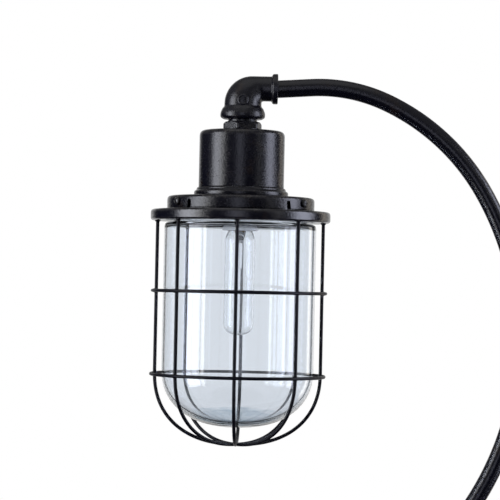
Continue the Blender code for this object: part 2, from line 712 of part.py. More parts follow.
def make_socket(pivot):
    reach, inner = BRACKET_REACH, BRACKET_REACH - SHEET
    strap = [
        (-reach, -BRACKET_DEPTH),
        (-reach, -BRACKET_TOP),
        (reach, -BRACKET_TOP),
        (reach, -BRACKET_DEPTH),
        (inner, -BRACKET_DEPTH),
        (inner, -BRACKET_TOP - SHEET),
        (-inner, -BRACKET_TOP - SHEET),
        (-inner, -BRACKET_DEPTH),
    ]
    bracket = prism("socket_bracket", strap, BRACKET_WIDTH, "zinc_steel", parent=pivot)
    start, end = (0, 0, CUT_SPARE - BRACKET_TOP), (0, 0, -BRACKET_TOP - 2 * CUT_SPARE)
    drill(bracket, start, end, NIPPLE_HOLE, parent=pivot)
    body = [
        (LEAD_HOLE, -SOCKET_TOP),
        (LEAD_HOLE, -SOCKET_FLOOR),
        (SOCKET_BORE, -SOCKET_FLOOR),
        (SOCKET_BORE, -SOCKET_DEPTH),
        (SOCKET_RADIUS, -SOCKET_DEPTH, EDGE_ROUND),
        (SOCKET_RADIUS, -SOCKET_TOP, EDGE_ROUND),
    ]
    socket = turned("socket_body", rounded(body), "porcelain", sides=SOCKET_SIDES, parent=pivot)
    placing = {"sides": SCREW_SIDES, "closed": False, "parent": pivot}
    room = SMALL_SCREW_RADIUS + GAP
    screw = screw_outline(SMALL_SCREW_RADIUS, BRACKET_SCREW)
    for number, side in enumerate((-1, 1), start=1):
        start = Vector((side * BRACKET_SCREW_REACH, 0, -BRACKET_SCREW_DEPTH))
        end = start + Vector((side * BRACKET_SCREW_REACH, 0, 0))
        drill(bracket, start, end, room, SCREW_SIDES, pivot)
        drill(socket, start - Vector((side * CUT_SPARE / 2, 0, 0)), end, room, SCREW_SIDES, pivot)
        turn = (0, side * math.pi / 2, 0)
        turned(f"bracket_screw_{number}", screw, "zinc_steel", location=start, turn=turn, **placing)
    terminal = screw_outline(SMALL_SCREW_RADIUS, TERMINAL_SCREW)
    for number, side in enumerate((-1, 1), start=1):
        bottom = Vector((0, side * TERMINAL_REACH, -SOCKET_TOP - TERMINAL_SINK))
        start, end = bottom - Vector((0, 0, CUT_SPARE / 2)), bottom + Vector((0, 0, 2 * TERMINAL_SINK))
        drill(socket, start, end, room, SCREW_SIDES, pivot)
        turned(f"terminal_screw_{number}", terminal, "brass", location=bottom, **placing)
    shell = tube_of(SHELL_RADIUS, SHELL_BORE, -SHELL_DEPTH, -SHELL_TOP)
    turned("screw_shell", shell, "brass", sides=SOCKET_SIDES, parent=pivot)
    low, high = -CONTACT_TOP - CONTACT_THICKNESS, -CONTACT_TOP
    tongue = [(0, low), (CONTACT_RADIUS, low), (CONTACT_RADIUS, high), (0, high)]
    turned("centre_contact", tongue, "brass", sides=HOLE_SIDES, closed=False, parent=pivot)


def make_housing(pivot):
    cup_top = HEX_DEPTH + GAP
    cup = [
        (NIPPLE_HOLE, -cup_top - SHEET),
        (CUP_RADIUS - SHEET, -cup_top - CUP_INNER_CORNER),
        (CUP_RADIUS - SHEET, -CUP_DEPTH),
        (CUP_RADIUS, -CUP_DEPTH),
        (CUP_RADIUS, -cup_top - SHEET, CUP_ROUND),
        (CUP_CROWN, -cup_top),
        (NIPPLE_HOLE, -cup_top),
    ]
    turned("socket_cup", rounded(cup), "aged_iron", parent=pivot)
    step = [
        (STEP_BORE, -CUP_DEPTH - GAP),
        (STEP_BORE, -STEP_DEPTH),
        (STEP_RADIUS, -STEP_DEPTH, STEP_ROUND),
        (STEP_RADIUS, -CUP_DEPTH - GAP, STEP_ROUND),
    ]
    turned("step_ring", rounded(step), "aged_iron", parent=pivot)
    collar_top = STEP_DEPTH + GAP
    collar = [
        (COLLAR_BORE, -collar_top),
        (COLLAR_BORE, -collar_top - SHEET),
        (COLLAR_RADIUS - SHEET, -collar_top - SHEET),
        (COLLAR_RADIUS - SHEET, -COLLAR_DEPTH),
        (COLLAR_RADIUS, -COLLAR_DEPTH),
        (COLLAR_RADIUS, -collar_top, COLLAR_ROUND),
    ]
    collar = turned("glass_collar", rounded(collar), "aged_iron", parent=pivot)
    vent_low = -COLLAR_DEPTH - CUT_SPARE
    vent = [
        (-VENT_HALF_BOTTOM, vent_low),
        (VENT_HALF_BOTTOM, vent_low),
        (VENT_HALF_TOP, -VENT_TOP),
        (-VENT_HALF_TOP, -VENT_TOP),
    ]
    for number, angle in enumerate(VENT_ANGLES, start=1):
        cutter = prism(f"vent_cutter_{number}", vent, 5 * CUT_SPARE, "cast_iron", parent=pivot)
        cutter.location = around(COLLAR_RADIUS, angle, 0)
        cutter.rotation_euler = (0, 0, math.radians(angle + 90))
        join_shape(collar, cutter, "DIFFERENCE")
    screw = [(0, 0), (COLLAR_SCREW_RADIUS, 0), (COLLAR_SCREW_RADIUS, COLLAR_SCREW_LENGTH)]
    screw += [(radius, COLLAR_SCREW_LENGTH + height) for radius, height in COLLAR_SCREW_HEAD]
    for number, angle in enumerate(COLLAR_SCREW_ANGLES, start=1):
        start = around(UPSTAND_RADIUS + GAP, angle, -COLLAR_SCREW_DEPTH)
        end = around(COLLAR_RADIUS + CUT_SPARE, angle, -COLLAR_SCREW_DEPTH)
        drill(collar, start, end, COLLAR_SCREW_RADIUS + GAP, SCREW_SIDES, pivot)
        placing = {"parent": pivot, "location": start, "turn": (0, math.pi / 2, math.radians(angle))}
        name = f"collar_screw_{number}"
        turned(name, screw, "black_screw", sides=SCREW_SIDES, closed=False, **placing)


def make_cage(pivot):
    ring = [
        (RING_BORE, -RING_DEPTH),
        (RING_RADIUS, -RING_DEPTH, RING_ROUND),
        (RING_RADIUS, -RING_TOP, RING_ROUND),
        (UPSTAND_RADIUS, -RING_TOP),
        (UPSTAND_RADIUS, -UPSTAND_TOP),
        (UPSTAND_RADIUS - SHEET, -UPSTAND_TOP),
        (UPSTAND_RADIUS - SHEET, -LEDGE_DEPTH),
        (RING_BORE, -LEDGE_DEPTH),
    ]
    turned("cage_ring", rounded(ring), "aged_iron", parent=pivot)
    seal = tube_of(JAR_LIP, RING_BORE + GASKET_ROOM, -LEDGE_DEPTH + GAP, -JAR_LIP_DEPTH - GAP)
    turned("glass_gasket", seal, "silicone", parent=pivot)
    shoulder_inner = JAR_SHOULDER + JAR_WALL
    inside = bowl(JAR_RADIUS - JAR_WALL, JAR_ROUND - JAR_FLOOR, -JAR_DEPTH + JAR_FLOOR, BOWL_STEPS - 1)
    outside = bowl(JAR_RADIUS, JAR_ROUND, -JAR_DEPTH, BOWL_STEPS)
    walls = rounded(
        [
            (JAR_RADIUS - JAR_WALL, -JAR_DEPTH + JAR_ROUND),
            (JAR_RADIUS - JAR_WALL, -shoulder_inner, JAR_CORNER),
            (JAR_NECK - JAR_WALL, -shoulder_inner + JAR_SLOPE, JAR_NECK_ROUND),
            (JAR_NECK - JAR_WALL, -JAR_LIP_TOP),
            (JAR_LIP, -JAR_LIP_TOP, JAR_LIP_ROUND),
            (JAR_LIP, -JAR_LIP_DEPTH),
            (JAR_NECK, -JAR_LIP_DEPTH),
            (JAR_NECK, -RING_DEPTH - NECK_CLEARANCE),
            (JAR_RADIUS, -JAR_SHOULDER, JAR_CORNER),
            (JAR_RADIUS, -JAR_DEPTH + JAR_ROUND),
        ]
    )
    turned("glass_jar", inside[::-1] + walls + outside, "jar_glass", closed=False, parent=pivot)
    top = Vector((ROD_CIRCLE, -RING_DEPTH - GAP))
    curve = [Vector(point) for point in bowl(ROD_CIRCLE, ROD_ROUND, -CAGE_DEPTH, ROD_STEPS)]
    start = Vector((ROD_CIRCLE, -CAGE_DEPTH + ROD_ROUND))
    profile = [top, start, *[point for point in curve if point.x > ROD_END], Vector((ROD_END, -CAGE_DEPTH))]
    for number in range(ROD_COUNT):
        angle = CAGE_TURN - 90 + 360 / ROD_COUNT * number
        points = [around(point.x, angle, point.y) for point in profile]
        if number == 0:
            points += [around(point.x, angle + 180, point.y) for point in reversed(profile)]
        if number != ROD_COUNT // 2:
            wire(f"cage_rod_{number + 1}", points, ROD_RADIUS, "rod_steel", parent=pivot)
    for number, depth in enumerate(HOOP_DEPTHS, start=1):
        section = []
        for side in range(HOOP_SIDES):
            spot = around(HOOP_RADIUS, 360 / HOOP_SIDES * side, 0)
            section.append((HOOP_CIRCLE + spot.x, spot.y - depth))
        turn = (0, 0, math.radians(CAGE_TURN))
        turned(f"cage_hoop_{number}", section, "rod_steel", parent=pivot, turn=turn)


def make_bulb(pivot):
    cap = [
        (0, -CAP_DEPTH),
        (CAP_RADIUS, -CAP_DEPTH),
        (CAP_RADIUS, -CAP_TOP - CAP_SLOPE),
        (CAP_TIP, -CAP_TOP),
        (0, -CAP_TOP),
    ]
    turned("bulb_cap", cap, "brass", sides=SMALL_SIDES, closed=False, parent=pivot)
    contact = [(radius, height - CAP_TOP) for radius, height in CONTACT_TIP]
    contact = [(0, contact[0][1]), *contact, (0, contact[1][1])]
    turned("bulb_contact", contact, "zinc_steel", sides=HOLE_SIDES, closed=False, parent=pivot)
    low = -BULB_DEPTH + BULB_ROUND
    thin = BULB_RADIUS - BULB_WALL
    inside = bowl(thin, BULB_ROUND - BULB_WALL, -BULB_DEPTH + BULB_WALL, SMALL_BOWL_STEPS)
    outside = bowl(BULB_RADIUS, BULB_ROUND, -BULB_DEPTH, SMALL_BOWL_STEPS)
    walls = rounded(
        [
            (thin, low),
            (thin, -BULB_SHOULDER - BULB_WALL / 2, BULB_CORNER),
            (BULB_NECK - BULB_WALL, -BULB_NECK_DEPTH, BULB_NECK_ROUND),
            (BULB_NECK - BULB_WALL, -CAP_DEPTH - GAP),
            (BULB_NECK, -CAP_DEPTH - GAP),
            (BULB_NECK, -BULB_NECK_DEPTH, BULB_NECK_ROUND),
            (BULB_RADIUS, -BULB_SHOULDER, BULB_CORNER),
            (BULB_RADIUS, low),
        ]
    )
    profile = inside[::-1] + walls + outside
    turned("bulb_glass", profile, "bulb_glass", sides=SMALL_SIDES, closed=False, parent=pivot)
    stem = [(radius, -depth) for radius, depth in STEM]
    turned("bulb_stem", stem, "bulb_glass", sides=HOLE_SIDES, closed=False, parent=pivot)
    filament = []
    for strand in range(FILAMENT_STRANDS):
        angle = FILAMENT_SPREAD / (FILAMENT_STRANDS - 1) * strand
        depths = FILAMENT_DEPTHS if strand % 2 == 0 else reversed(FILAMENT_DEPTHS)
        filament += [around(FILAMENT_CIRCLE, angle, -depth) for depth in depths]
    wire("bulb_filament", filament, FILAMENT_RADIUS, "tungsten", smooth=0, parent=pivot)


def main():
    clear_scene()
    make_base()
    make_post()
    make_tube()
    elbow_pivot = add_empty("elbow_pivot", location=HEAD_PLACE)
    head_pivot = add_empty("head_pivot", parent=elbow_pivot)
    cage_pivot = add_empty("cage_pivot", parent=head_pivot)
    bulb_pivot = add_empty("bulb_pivot", parent=head_pivot)
    make_elbow(elbow_pivot)
    make_fitting(head_pivot)
    make_socket(head_pivot)
    make_housing(head_pivot)
    make_cage(cage_pivot)
    make_bulb(bulb_pivot)


main()
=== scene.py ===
"""Arc floor lamp: the finished look of a bent-tube floor lamp with a caged jar head.

Every size is in metres. In the head, a depth counts down from the tube's centreline and a radius is
taken from the head's own axis.
"""

import json
import logging
import math
from collections.abc import Callable, Sequence
from dataclasses import dataclass, field
from enum import Enum

import bpy
import numpy as np
from mathutils import Matrix, Vector


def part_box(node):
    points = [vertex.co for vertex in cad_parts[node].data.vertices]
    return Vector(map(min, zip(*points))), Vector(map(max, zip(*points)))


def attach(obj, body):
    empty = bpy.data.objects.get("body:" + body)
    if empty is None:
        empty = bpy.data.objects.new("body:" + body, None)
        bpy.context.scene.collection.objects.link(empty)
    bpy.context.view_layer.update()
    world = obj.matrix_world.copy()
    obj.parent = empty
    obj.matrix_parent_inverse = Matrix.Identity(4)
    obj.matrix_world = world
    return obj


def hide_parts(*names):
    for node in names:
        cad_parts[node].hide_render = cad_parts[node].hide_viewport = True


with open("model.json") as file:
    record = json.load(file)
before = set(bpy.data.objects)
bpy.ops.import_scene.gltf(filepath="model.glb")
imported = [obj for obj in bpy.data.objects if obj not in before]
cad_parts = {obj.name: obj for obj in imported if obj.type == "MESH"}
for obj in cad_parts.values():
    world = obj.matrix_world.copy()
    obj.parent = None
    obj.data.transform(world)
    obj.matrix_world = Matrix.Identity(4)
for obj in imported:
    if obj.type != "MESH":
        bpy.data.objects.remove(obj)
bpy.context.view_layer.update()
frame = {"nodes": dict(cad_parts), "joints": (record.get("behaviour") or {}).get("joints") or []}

LOG = logging.getLogger("lamp")
# Name of the per-point amount of edge wear, which also places a painted highlight.
WEAR_AND_HIGHLIGHT = "wear"
Relief = Callable[[np.ndarray, np.ndarray, np.ndarray], np.ndarray]


# ----------------------------------------
# Colour and nodes
# ----------------------------------------


def linear(colour: str) -> tuple[float, float, float, float]:
    """Turns an sRGB hex colour into linear RGBA.

    Args:
        colour: Six hex digits after a hash, such as "#1c1b1d".

    Returns:
        Red, green, blue and an alpha of 1, all linear.
    """
    channels = [int(colour[place : place + 2], 16) / 255 for place in (1, 3, 5)]
    curved = [c / 12.92 if c <= 0.04045 else ((c + 0.055) / 1.055) ** 2.4 for c in channels]
    return (*curved, 1.0)


def per_metre(millimetres: float) -> float:
    """Texture scale for a pattern whose features are this many millimetres apart."""
    return 1000.0 / millimetres


def add_node(
    tree: bpy.types.NodeTree,
    kind: str,
    values: dict | None = None,
    links: dict | None = None,
    **settings: object,
) -> bpy.types.Node:
    """Adds one node with its settings, input values and links.

    Args:
        tree: The node tree that takes the node.
        kind: Blender's name for the node's type.
        values: Input name or number to default value.
        links: Input name or number to the socket that feeds it.
        **settings: Properties of the node itself.

    Returns:
        The new node.
    """
    node = tree.nodes.new(kind)
    for key, value in settings.items():
        setattr(node, key, value)
    for key, value in (values or {}).items():
        node.inputs[key].default_value = value
    for key, source in (links or {}).items():
        tree.links.new(source, node.inputs[key])
    return node


def new_tree(
    name: str, **shader_values: object
) -> tuple[bpy.types.Material, bpy.types.NodeTree, bpy.types.Node]:
    """Starts a material that holds one Principled shader.

    Args:
        name: The material's name.
        **shader_values: Constant inputs of the shader, with underscores for the spaces in their names.

    Returns:
        The material, its tree and its shader node.
    """
    material = bpy.data.materials.new(name)
    material.use_nodes = True
    tree = material.node_tree
    tree.nodes.clear()
    values = {key.replace("_", " "): value for key, value in shader_values.items()}
    shader = add_node(tree, "ShaderNodeBsdfPrincipled", values)
    add_node(tree, "ShaderNodeOutputMaterial", links={"Surface": shader.outputs["BSDF"]})
    return material, tree, shader


# ----------------------------------------
# Finishes
# ----------------------------------------


@dataclass(frozen=True)
class AgedPaint:
    """Black paint over cast, drawn or spun metal, worn back by hand.

    The eye sees a dark satin film with fine grit, faint brown mottling and paler grey where edges are worn.
    That paler grey on edges, beads and crests is also a painted highlight.
    The real grit is under a millimetre; it is drawn coarser so that it shows. A range holds the values of
    a noise that a mask starts and ends at, and a swing is what it adds to the roughness at either end.
    """

    name: str
    film: str = "#070716"
    mottle: str = "#24170f"
    speck: str = "#303036"
    worn_and_highlight_grey: str = "#4c4845"
    roughness: float = 0.21
    gloss: float = 0.72
    grit_mm: float = 2.2
    mottle_mm: float = 24.0
    scrape_mm: float = 4.0
    patch_range: tuple[float, float] = (0.56, 0.74)
    speck_range: tuple[float, float] = (0.62, 0.78)
    speck_share: float = 0.5
    ragged_range: tuple[float, float] = (0.46, 0.68)
    sheen_range: tuple[float, float] = (0.3, 0.7)
    sheen_swing: tuple[float, float] = (-0.04, 0.06)
    dust_range: tuple[float, float] = (0.4, 0.62)
    dust_swing: tuple[float, float] = (-0.02, 0.055)
    peel_strength: float = 0.45
    peel_mm: float = 0.5

    def build(self) -> bpy.types.Material:
        """Builds the paint's material.

        Returns:
            The material.
        """
        material, tree, shader = new_tree(self.name, Specular_IOR_Level=self.gloss)
        place = add_node(tree, "ShaderNodeTexCoord").outputs["Object"]
        noises = {}
        for key, spacing, detail in (
            ("cloud", self.mottle_mm, 6.0),
            ("grit", self.grit_mm, 3.0),
            ("scrape", self.scrape_mm, 5.0),
        ):
            values = {"Scale": per_metre(spacing), "Detail": detail, "Roughness": 0.65}
            noises[key] = add_node(tree, "ShaderNodeTexNoise", values, {"Vector": place}).outputs["Fac"]
        patches = add_node(
            tree,
            "ShaderNodeMapRange",
            {"From Min": self.patch_range[0], "From Max": self.patch_range[1]},
            {"Value": noises["cloud"]},
        )
        film = add_node(
            tree,
            "ShaderNodeMix",
            {6: linear(self.film), 7: linear(self.mottle)},
            {0: patches.outputs["Result"]},
            data_type="RGBA",
        )
        specks = add_node(
            tree,
            "ShaderNodeMapRange",
            {"From Min": self.speck_range[0], "From Max": self.speck_range[1], "To Max": self.speck_share},
            {"Value": noises["grit"]},
        )
        speckled = add_node(
            tree,
            "ShaderNodeMix",
            {7: linear(self.speck)},
            {0: specks.outputs["Result"], 6: film.outputs[2]},
            data_type="RGBA",
        )
        # The per-point attribute marks worn edges, and with them where a painted highlight goes.
        worn = add_node(tree, "ShaderNodeAttribute", attribute_name=WEAR_AND_HIGHLIGHT)
        ragged = add_node(
            tree,
            "ShaderNodeMapRange",
            {"From Min": self.ragged_range[0], "From Max": self.ragged_range[1]},
            {"Value": noises["scrape"]},
        )
        mask = add_node(
            tree,
            "ShaderNodeMath",
            links={0: worn.outputs["Fac"], 1: ragged.outputs["Result"]},
            operation="MULTIPLY",
        )
        # Mixes in paler grey: partly real edge wear, partly a painted highlight on edges, beads and crests.
        colour = add_node(
            tree,
            "ShaderNodeMix",
            {7: linear(self.worn_and_highlight_grey)},
            {0: mask.outputs["Value"], 6: speckled.outputs[2]},
            data_type="RGBA",
        )
        sheen = add_node(
            tree,
            "ShaderNodeMapRange",
            {
                "From Min": self.sheen_range[0],
                "From Max": self.sheen_range[1],
                "To Min": self.roughness + self.sheen_swing[0],
                "To Max": self.roughness + self.sheen_swing[1],
            },
            {"Value": noises["cloud"]},
        )
        peel = add_node(
            tree,
            "ShaderNodeBump",
            {"Strength": self.peel_strength, "Distance": self.peel_mm / 1000},
            {"Height": noises["grit"]},
        )
        dusty = add_node(
            tree,
            "ShaderNodeMapRange",
            {
                "From Min": self.dust_range[0],
                "From Max": self.dust_range[1],
                "To Min": self.dust_swing[0],
                "To Max": self.dust_swing[1],
            },
            {"Value": noises["grit"]},
        )
        rough = add_node(
            tree,
            "ShaderNodeMath",
            links={0: sheen.outputs["Result"], 1: dusty.outputs["Result"]},
            operation="ADD",
        )
        tree.links.new(colour.outputs[2], shader.inputs["Base Color"])
        tree.links.new(rough.outputs["Value"], shader.inputs["Roughness"])
        tree.links.new(peel.outputs["Normal"], shader.inputs["Normal"])
        return material


@dataclass(frozen=True)
class Metal:
    """Bare or plated metal: turned brass, zinc plate or tungsten, with a fine uneven polish."""

    name: str
    colour: str
    shade: str
    roughness: float
    grain_mm: float = 0.6

    def build(self) -> bpy.types.Material:
        """Builds the metal's material.

        Returns:
            The material.
        """
        material, tree, shader = new_tree(self.name, Metallic=1.0)
        place = add_node(tree, "ShaderNodeTexCoord").outputs["Object"]
        grain = add_node(
            tree, "ShaderNodeTexNoise", {"Scale": per_metre(self.grain_mm), "Detail": 4.0}, {"Vector": place}
        )
        tarnish = add_node(
            tree, "ShaderNodeTexNoise", {"Scale": per_metre(9.0), "Detail": 5.0}, {"Vector": place}
        )
        colour = add_node(
            tree,
            "ShaderNodeMix",
            {6: linear(self.colour), 7: linear(self.shade)},
            {0: tarnish.outputs["Fac"]},
            data_type="RGBA",
        )
        polish = add_node(
            tree,
            "ShaderNodeMapRange",
            {"To Min": self.roughness - 0.08, "To Max": self.roughness + 0.12},
            {"Value": grain.outputs["Fac"]},
        )
        scratch = add_node(
            tree, "ShaderNodeBump", {"Strength": 0.15, "Distance": 0.0001}, {"Height": grain.outputs["Fac"]}
        )
        tree.links.new(colour.outputs[2], shader.inputs["Base Color"])
        tree.links.new(polish.outputs["Result"], shader.inputs["Roughness"])
        tree.links.new(scratch.outputs["Normal"], shader.inputs["Normal"])
        return material


@dataclass(frozen=True)
class Moulded:
    """A dull or glazed non-metal: cast iron skin, rubber, PVC, silicone or glazed porcelain. A fine
    texture roughens it and a broad one shifts its tone a little."""

    name: str
    colour: str
    shade: str
    roughness: float
    texture_mm: float
    relief_mm: float
    coat: float = 0.0

    def build(self) -> bpy.types.Material:
        """Builds the material.

        Returns:
            The material.
        """
        material, tree, shader = new_tree(self.name, Coat_Weight=self.coat, Coat_Roughness=0.08)
        place = add_node(tree, "ShaderNodeTexCoord").outputs["Object"]
        fine = add_node(
            tree,
            "ShaderNodeTexNoise",
            {"Scale": per_metre(self.texture_mm), "Detail": 3.0},
            {"Vector": place},
        )
        broad = add_node(tree, "ShaderNodeTexNoise", {"Scale": per_metre(22.0)}, {"Vector": place})
        colour = add_node(
            tree,
            "ShaderNodeMix",
            {6: linear(self.colour), 7: linear(self.shade)},
            {0: broad.outputs["Fac"]},
            data_type="RGBA",
        )
        dull = add_node(
            tree,
            "ShaderNodeMapRange",
            {"To Min": self.roughness - 0.05, "To Max": self.roughness + 0.08},
            {"Value": fine.outputs["Fac"]},
        )
        skin = add_node(
            tree,
            "ShaderNodeBump",
            {"Strength": 0.5, "Distance": self.relief_mm / 1000},
            {"Height": fine.outputs["Fac"]},
        )
        tree.links.new(colour.outputs[2], shader.inputs["Base Color"])
        tree.links.new(dull.outputs["Result"], shader.inputs["Roughness"])
        tree.links.new(skin.outputs["Normal"], shader.inputs["Normal"])
        return material


@dataclass(frozen=True)
class ClearGlass:
    """Clear blown soda-lime glass: colourless to a faint blue-grey, with slow waves left by blowing.

    Below thick_level, with a tint given, the colour deepens as it does where glass is gathered. The level
    wanders by level_swing and changes over level_fade.
    """

    name: str
    tint: str
    wave_mm: float
    wave_height_mm: float
    thick_tint: str = ""
    thick_level: float = 0.0
    level_swing: float = 0.006
    level_fade: tuple[float, float] = (-0.0004, 0.0008)
    cloud_mm: float = 9.0

    def build(self) -> bpy.types.Material:
        """Builds the glass.

        Returns:
            The material.
        """
        material, tree, shader = new_tree(
            self.name,
            Transmission_Weight=1.0,
            Roughness=0.0,
            IOR=1.5,
            Base_Color=linear(self.tint),
        )
        place = add_node(tree, "ShaderNodeTexCoord").outputs["Object"]
        wave = add_node(
            tree, "ShaderNodeTexNoise", {"Scale": per_metre(self.wave_mm), "Detail": 1.0}, {"Vector": place}
        )
        ripple = add_node(
            tree,
            "ShaderNodeBump",
            {"Strength": 0.4, "Distance": self.wave_height_mm / 1000},
            {"Height": wave.outputs["Fac"]},
        )
        tree.links.new(ripple.outputs["Normal"], shader.inputs["Normal"])
        if self.thick_tint:
            self.deepen(tree, shader, place, wave)
        return material

    def deepen(
        self,
        tree: bpy.types.NodeTree,
        shader: bpy.types.Node,
        place: bpy.types.NodeSocket,
        wave: bpy.types.Node,
    ) -> None:
        """Deepens the tint below a level, where the glass is thick: light that crosses more glass loses
        more red, so the gather of glass at the bottom is a cloudy blue-grey lens.

        Args:
            tree: The glass's node tree.
            shader: Its shader.
            place: The socket that gives Object coordinates.
            wave: The noise that makes the level uneven.
        """
        height = add_node(tree, "ShaderNodeSeparateXYZ", links={0: place}).outputs["Z"]
        uneven = add_node(
            tree,
            "ShaderNodeMath",
            {1: self.level_swing, 2: self.thick_level - self.level_swing / 2},
            {0: wave.outputs["Fac"]},
            operation="MULTIPLY_ADD",
        )
        below = add_node(
            tree, "ShaderNodeMath", links={0: uneven.outputs["Value"], 1: height}, operation="SUBTRACT"
        )
        share = add_node(
            tree,
            "ShaderNodeMapRange",
            {"From Min": self.level_fade[0], "From Max": self.level_fade[1]},
            {"Value": below.outputs["Value"]},
        )
        cloud = add_node(
            tree,
            "ShaderNodeTexNoise",
            {"Scale": per_metre(self.cloud_mm), "Detail": 2.0},
            {"Vector": place},
        )
        deep = add_node(
            tree,
            "ShaderNodeMix",
            {6: linear(self.thick_tint), 7: linear(self.tint)},
            {0: cloud.outputs["Fac"]},
            data_type="RGBA",
        )
        colour = add_node(
            tree,
            "ShaderNodeMix",
            {6: linear(self.tint)},
            {0: share.outputs["Result"], 7: deep.outputs[2]},
            data_type="RGBA",
        )
        tree.links.new(colour.outputs[2], shader.inputs["Base Color"])


class Finish(Enum):
    """Every finish on the lamp; the value is the recipe that builds it."""

    IRON_PAINT = AgedPaint("aged_black_paint_on_spun_steel")
    RING_PAINT = AgedPaint("aged_black_paint_on_turned_cast_ring", roughness=0.17, gloss=1.0)
    CAST_PAINT = AgedPaint("aged_black_paint_on_malleable_iron", grit_mm=2.6, roughness=0.27)
    TUBE_PAINT = AgedPaint("aged_black_paint_on_drawn_tube", mottle_mm=40.0, grit_mm=2.6, roughness=0.21)
    WIRE_PAINT = AgedPaint(
        "black_paint_on_drawn_wire", mottle="#1a1412", speck="#242427", roughness=0.40, gloss=0.3
    )
    SCREW_BLACK = AgedPaint("blackened_steel_screw", film="#16161a", speck="#4a4a4c", roughness=0.28)
    CAST_IRON = Moulded("bare_sand_cast_iron", "#3d3b3a", "#2f2d2c", 0.72, 1.2, 0.25)
    ZINC = Metal("zinc_plated_steel", "#b8b9ba", "#9c9da0", 0.32)
    BRASS = Metal("turned_brass", "#c9a35a", "#a8843f", 0.28)
    NICKEL = Metal("nickel_plated_brass_cap", "#c6c4bf", "#aaa8a2", 0.24)
    TUNGSTEN = Metal("drawn_tungsten_wire", "#6d6a66", "#4d4a47", 0.35)
    SOLDER = Metal("tin_lead_solder", "#a9abad", "#8f9194", 0.30)
    PORCELAIN = Moulded("glazed_porcelain", "#e6e7e8", "#dcdee1", 0.22, 3.0, 0.02, coat=0.6)
    RUBBER = Moulded("moulded_black_rubber", "#1b1b1c", "#222223", 0.75, 0.8, 0.08)
    SILICONE = Moulded("translucent_grey_silicone", "#b9bcbf", "#a9acb0", 0.55, 1.5, 0.03)
    PVC = Moulded("extruded_black_pvc_sleeve", "#1d1d1f", "#252527", 0.45, 1.0, 0.02)
    JAR_GLASS = ClearGlass("blown_clear_jar_glass", "#ebeff4", 45.0, 0.10, "#8fa9bc", 1.2358)
    BULB_GLASS = ClearGlass("blown_clear_bulb_glass", "#fbfcfd", 40.0, 0.01)

    @property
    def material(self) -> bpy.types.Material:
        """The built material, made the first time that it is asked for."""
        found = bpy.data.materials.get(self.value.name)
        return found or self.value.build()


# ----------------------------------------
# Shapes
# ----------------------------------------


@dataclass
class Shape:
    """A mesh in numbers: points, faces and how worn each point is, which also places a painted highlight."""

    points: np.ndarray
    faces: list[np.ndarray]
    wear: np.ndarray

    def moved(self, matrix: Matrix) -> "Shape":
        """The same shape with its points carried by a matrix."""
        full = np.array(matrix)
        return Shape(self.points @ full[:3, :3].T + full[:3, 3], self.faces, self.wear)

    def joined(self, *others: "Shape") -> "Shape":
        """This shape and others as one mesh of separate shells.

        Args:
            *others: The shapes to add.

        Returns:
            The combined shape.
        """
        points, faces, wear, start = [], [], [], 0
        for shape in (self, *others):
            points.append(shape.points)
            wear.append(shape.wear)
            faces += [group + start for group in shape.faces]
            start += len(shape.points)
        return Shape(np.concatenate(points), faces, np.concatenate(wear))

    def outward(self) -> "Shape":
        """Turns every face round if the shape encloses a negative volume, so is inside out.

        The volume is the sum over triangles of a . (b x c), up to a factor.

        Returns:
            This shape.
        """
        volume = 0.0
        for group in self.faces:
            for last in range(2, group.shape[1]):
                a, b, c = (self.points[group[:, k]] for k in (0, last - 1, last))
                volume += float(np.einsum("ij,ij->i", a, np.cross(b, c)).sum())
        if volume < 0:
            self.faces = [group[:, ::-1] for group in self.faces]
        return self


def turned_wall(
    profile: np.ndarray, wear: np.ndarray, sides: int = 96, closed: bool = True, relief: Relief | None = None
) -> Shape:
    """A profile of (radius, height) carried round the Z axis.

    The point for profile point i and angle a is (r_i cos a, r_i sin a, z_i). With a relief, r_i is first
    replaced by relief(r, z, a), as for a thread or a hexagon.

    Args:
        profile: Points (radius, height). An open profile starts and ends on the axis.
        wear: How worn each profile point is, from 0 to 1.
        sides: Steps round the axis.
        closed: Whether the profile returns to its first point, which makes a ring.
        relief: Changes the radius by radius, height and angle.

    Returns:
        A closed shell.
    """
    angle = np.linspace(0, 2 * np.pi, sides, endpoint=False)
    ring = profile if closed else profile[1:-1]
    worn = wear if closed else wear[1:-1]
    radius = np.repeat(ring[:, :1], sides, axis=1)
    height = np.repeat(ring[:, 1:], sides, axis=1)
    turn = np.repeat(angle[None, :], len(ring), axis=0)
    if relief is not None:
        radius = relief(radius, height, turn)
    grid = np.stack([radius * np.cos(turn), radius * np.sin(turn), height], axis=-1)
    index = np.arange(len(ring) * sides).reshape(len(ring), sides)
    after = np.roll(index, -1, axis=1)
    rows = len(ring) if closed else len(ring) - 1
    nxt = np.roll(index, -1, axis=0)
    nxt_after = np.roll(after, -1, axis=0)
    quads = np.stack([index[:rows], after[:rows], nxt_after[:rows], nxt[:rows]], axis=-1).reshape(-1, 4)
    points = grid.reshape(-1, 3)
    faces = [quads]
    amounts = np.repeat(worn, sides)
    if not closed:
        first, last = len(points), len(points) + 1
        poles = np.array([[0, 0, profile[0, 1]], [0, 0, profile[-1, 1]]])
        points = np.concatenate([points, poles])
        amounts = np.concatenate([amounts, [wear[0], wear[-1]]])
        top = np.stack([after[0], index[0], np.full(sides, first)], axis=-1)
        bottom = np.stack([index[-1], after[-1], np.full(sides, last)], axis=-1)
        faces += [top, bottom]
    return Shape(points, faces, amounts).outward()


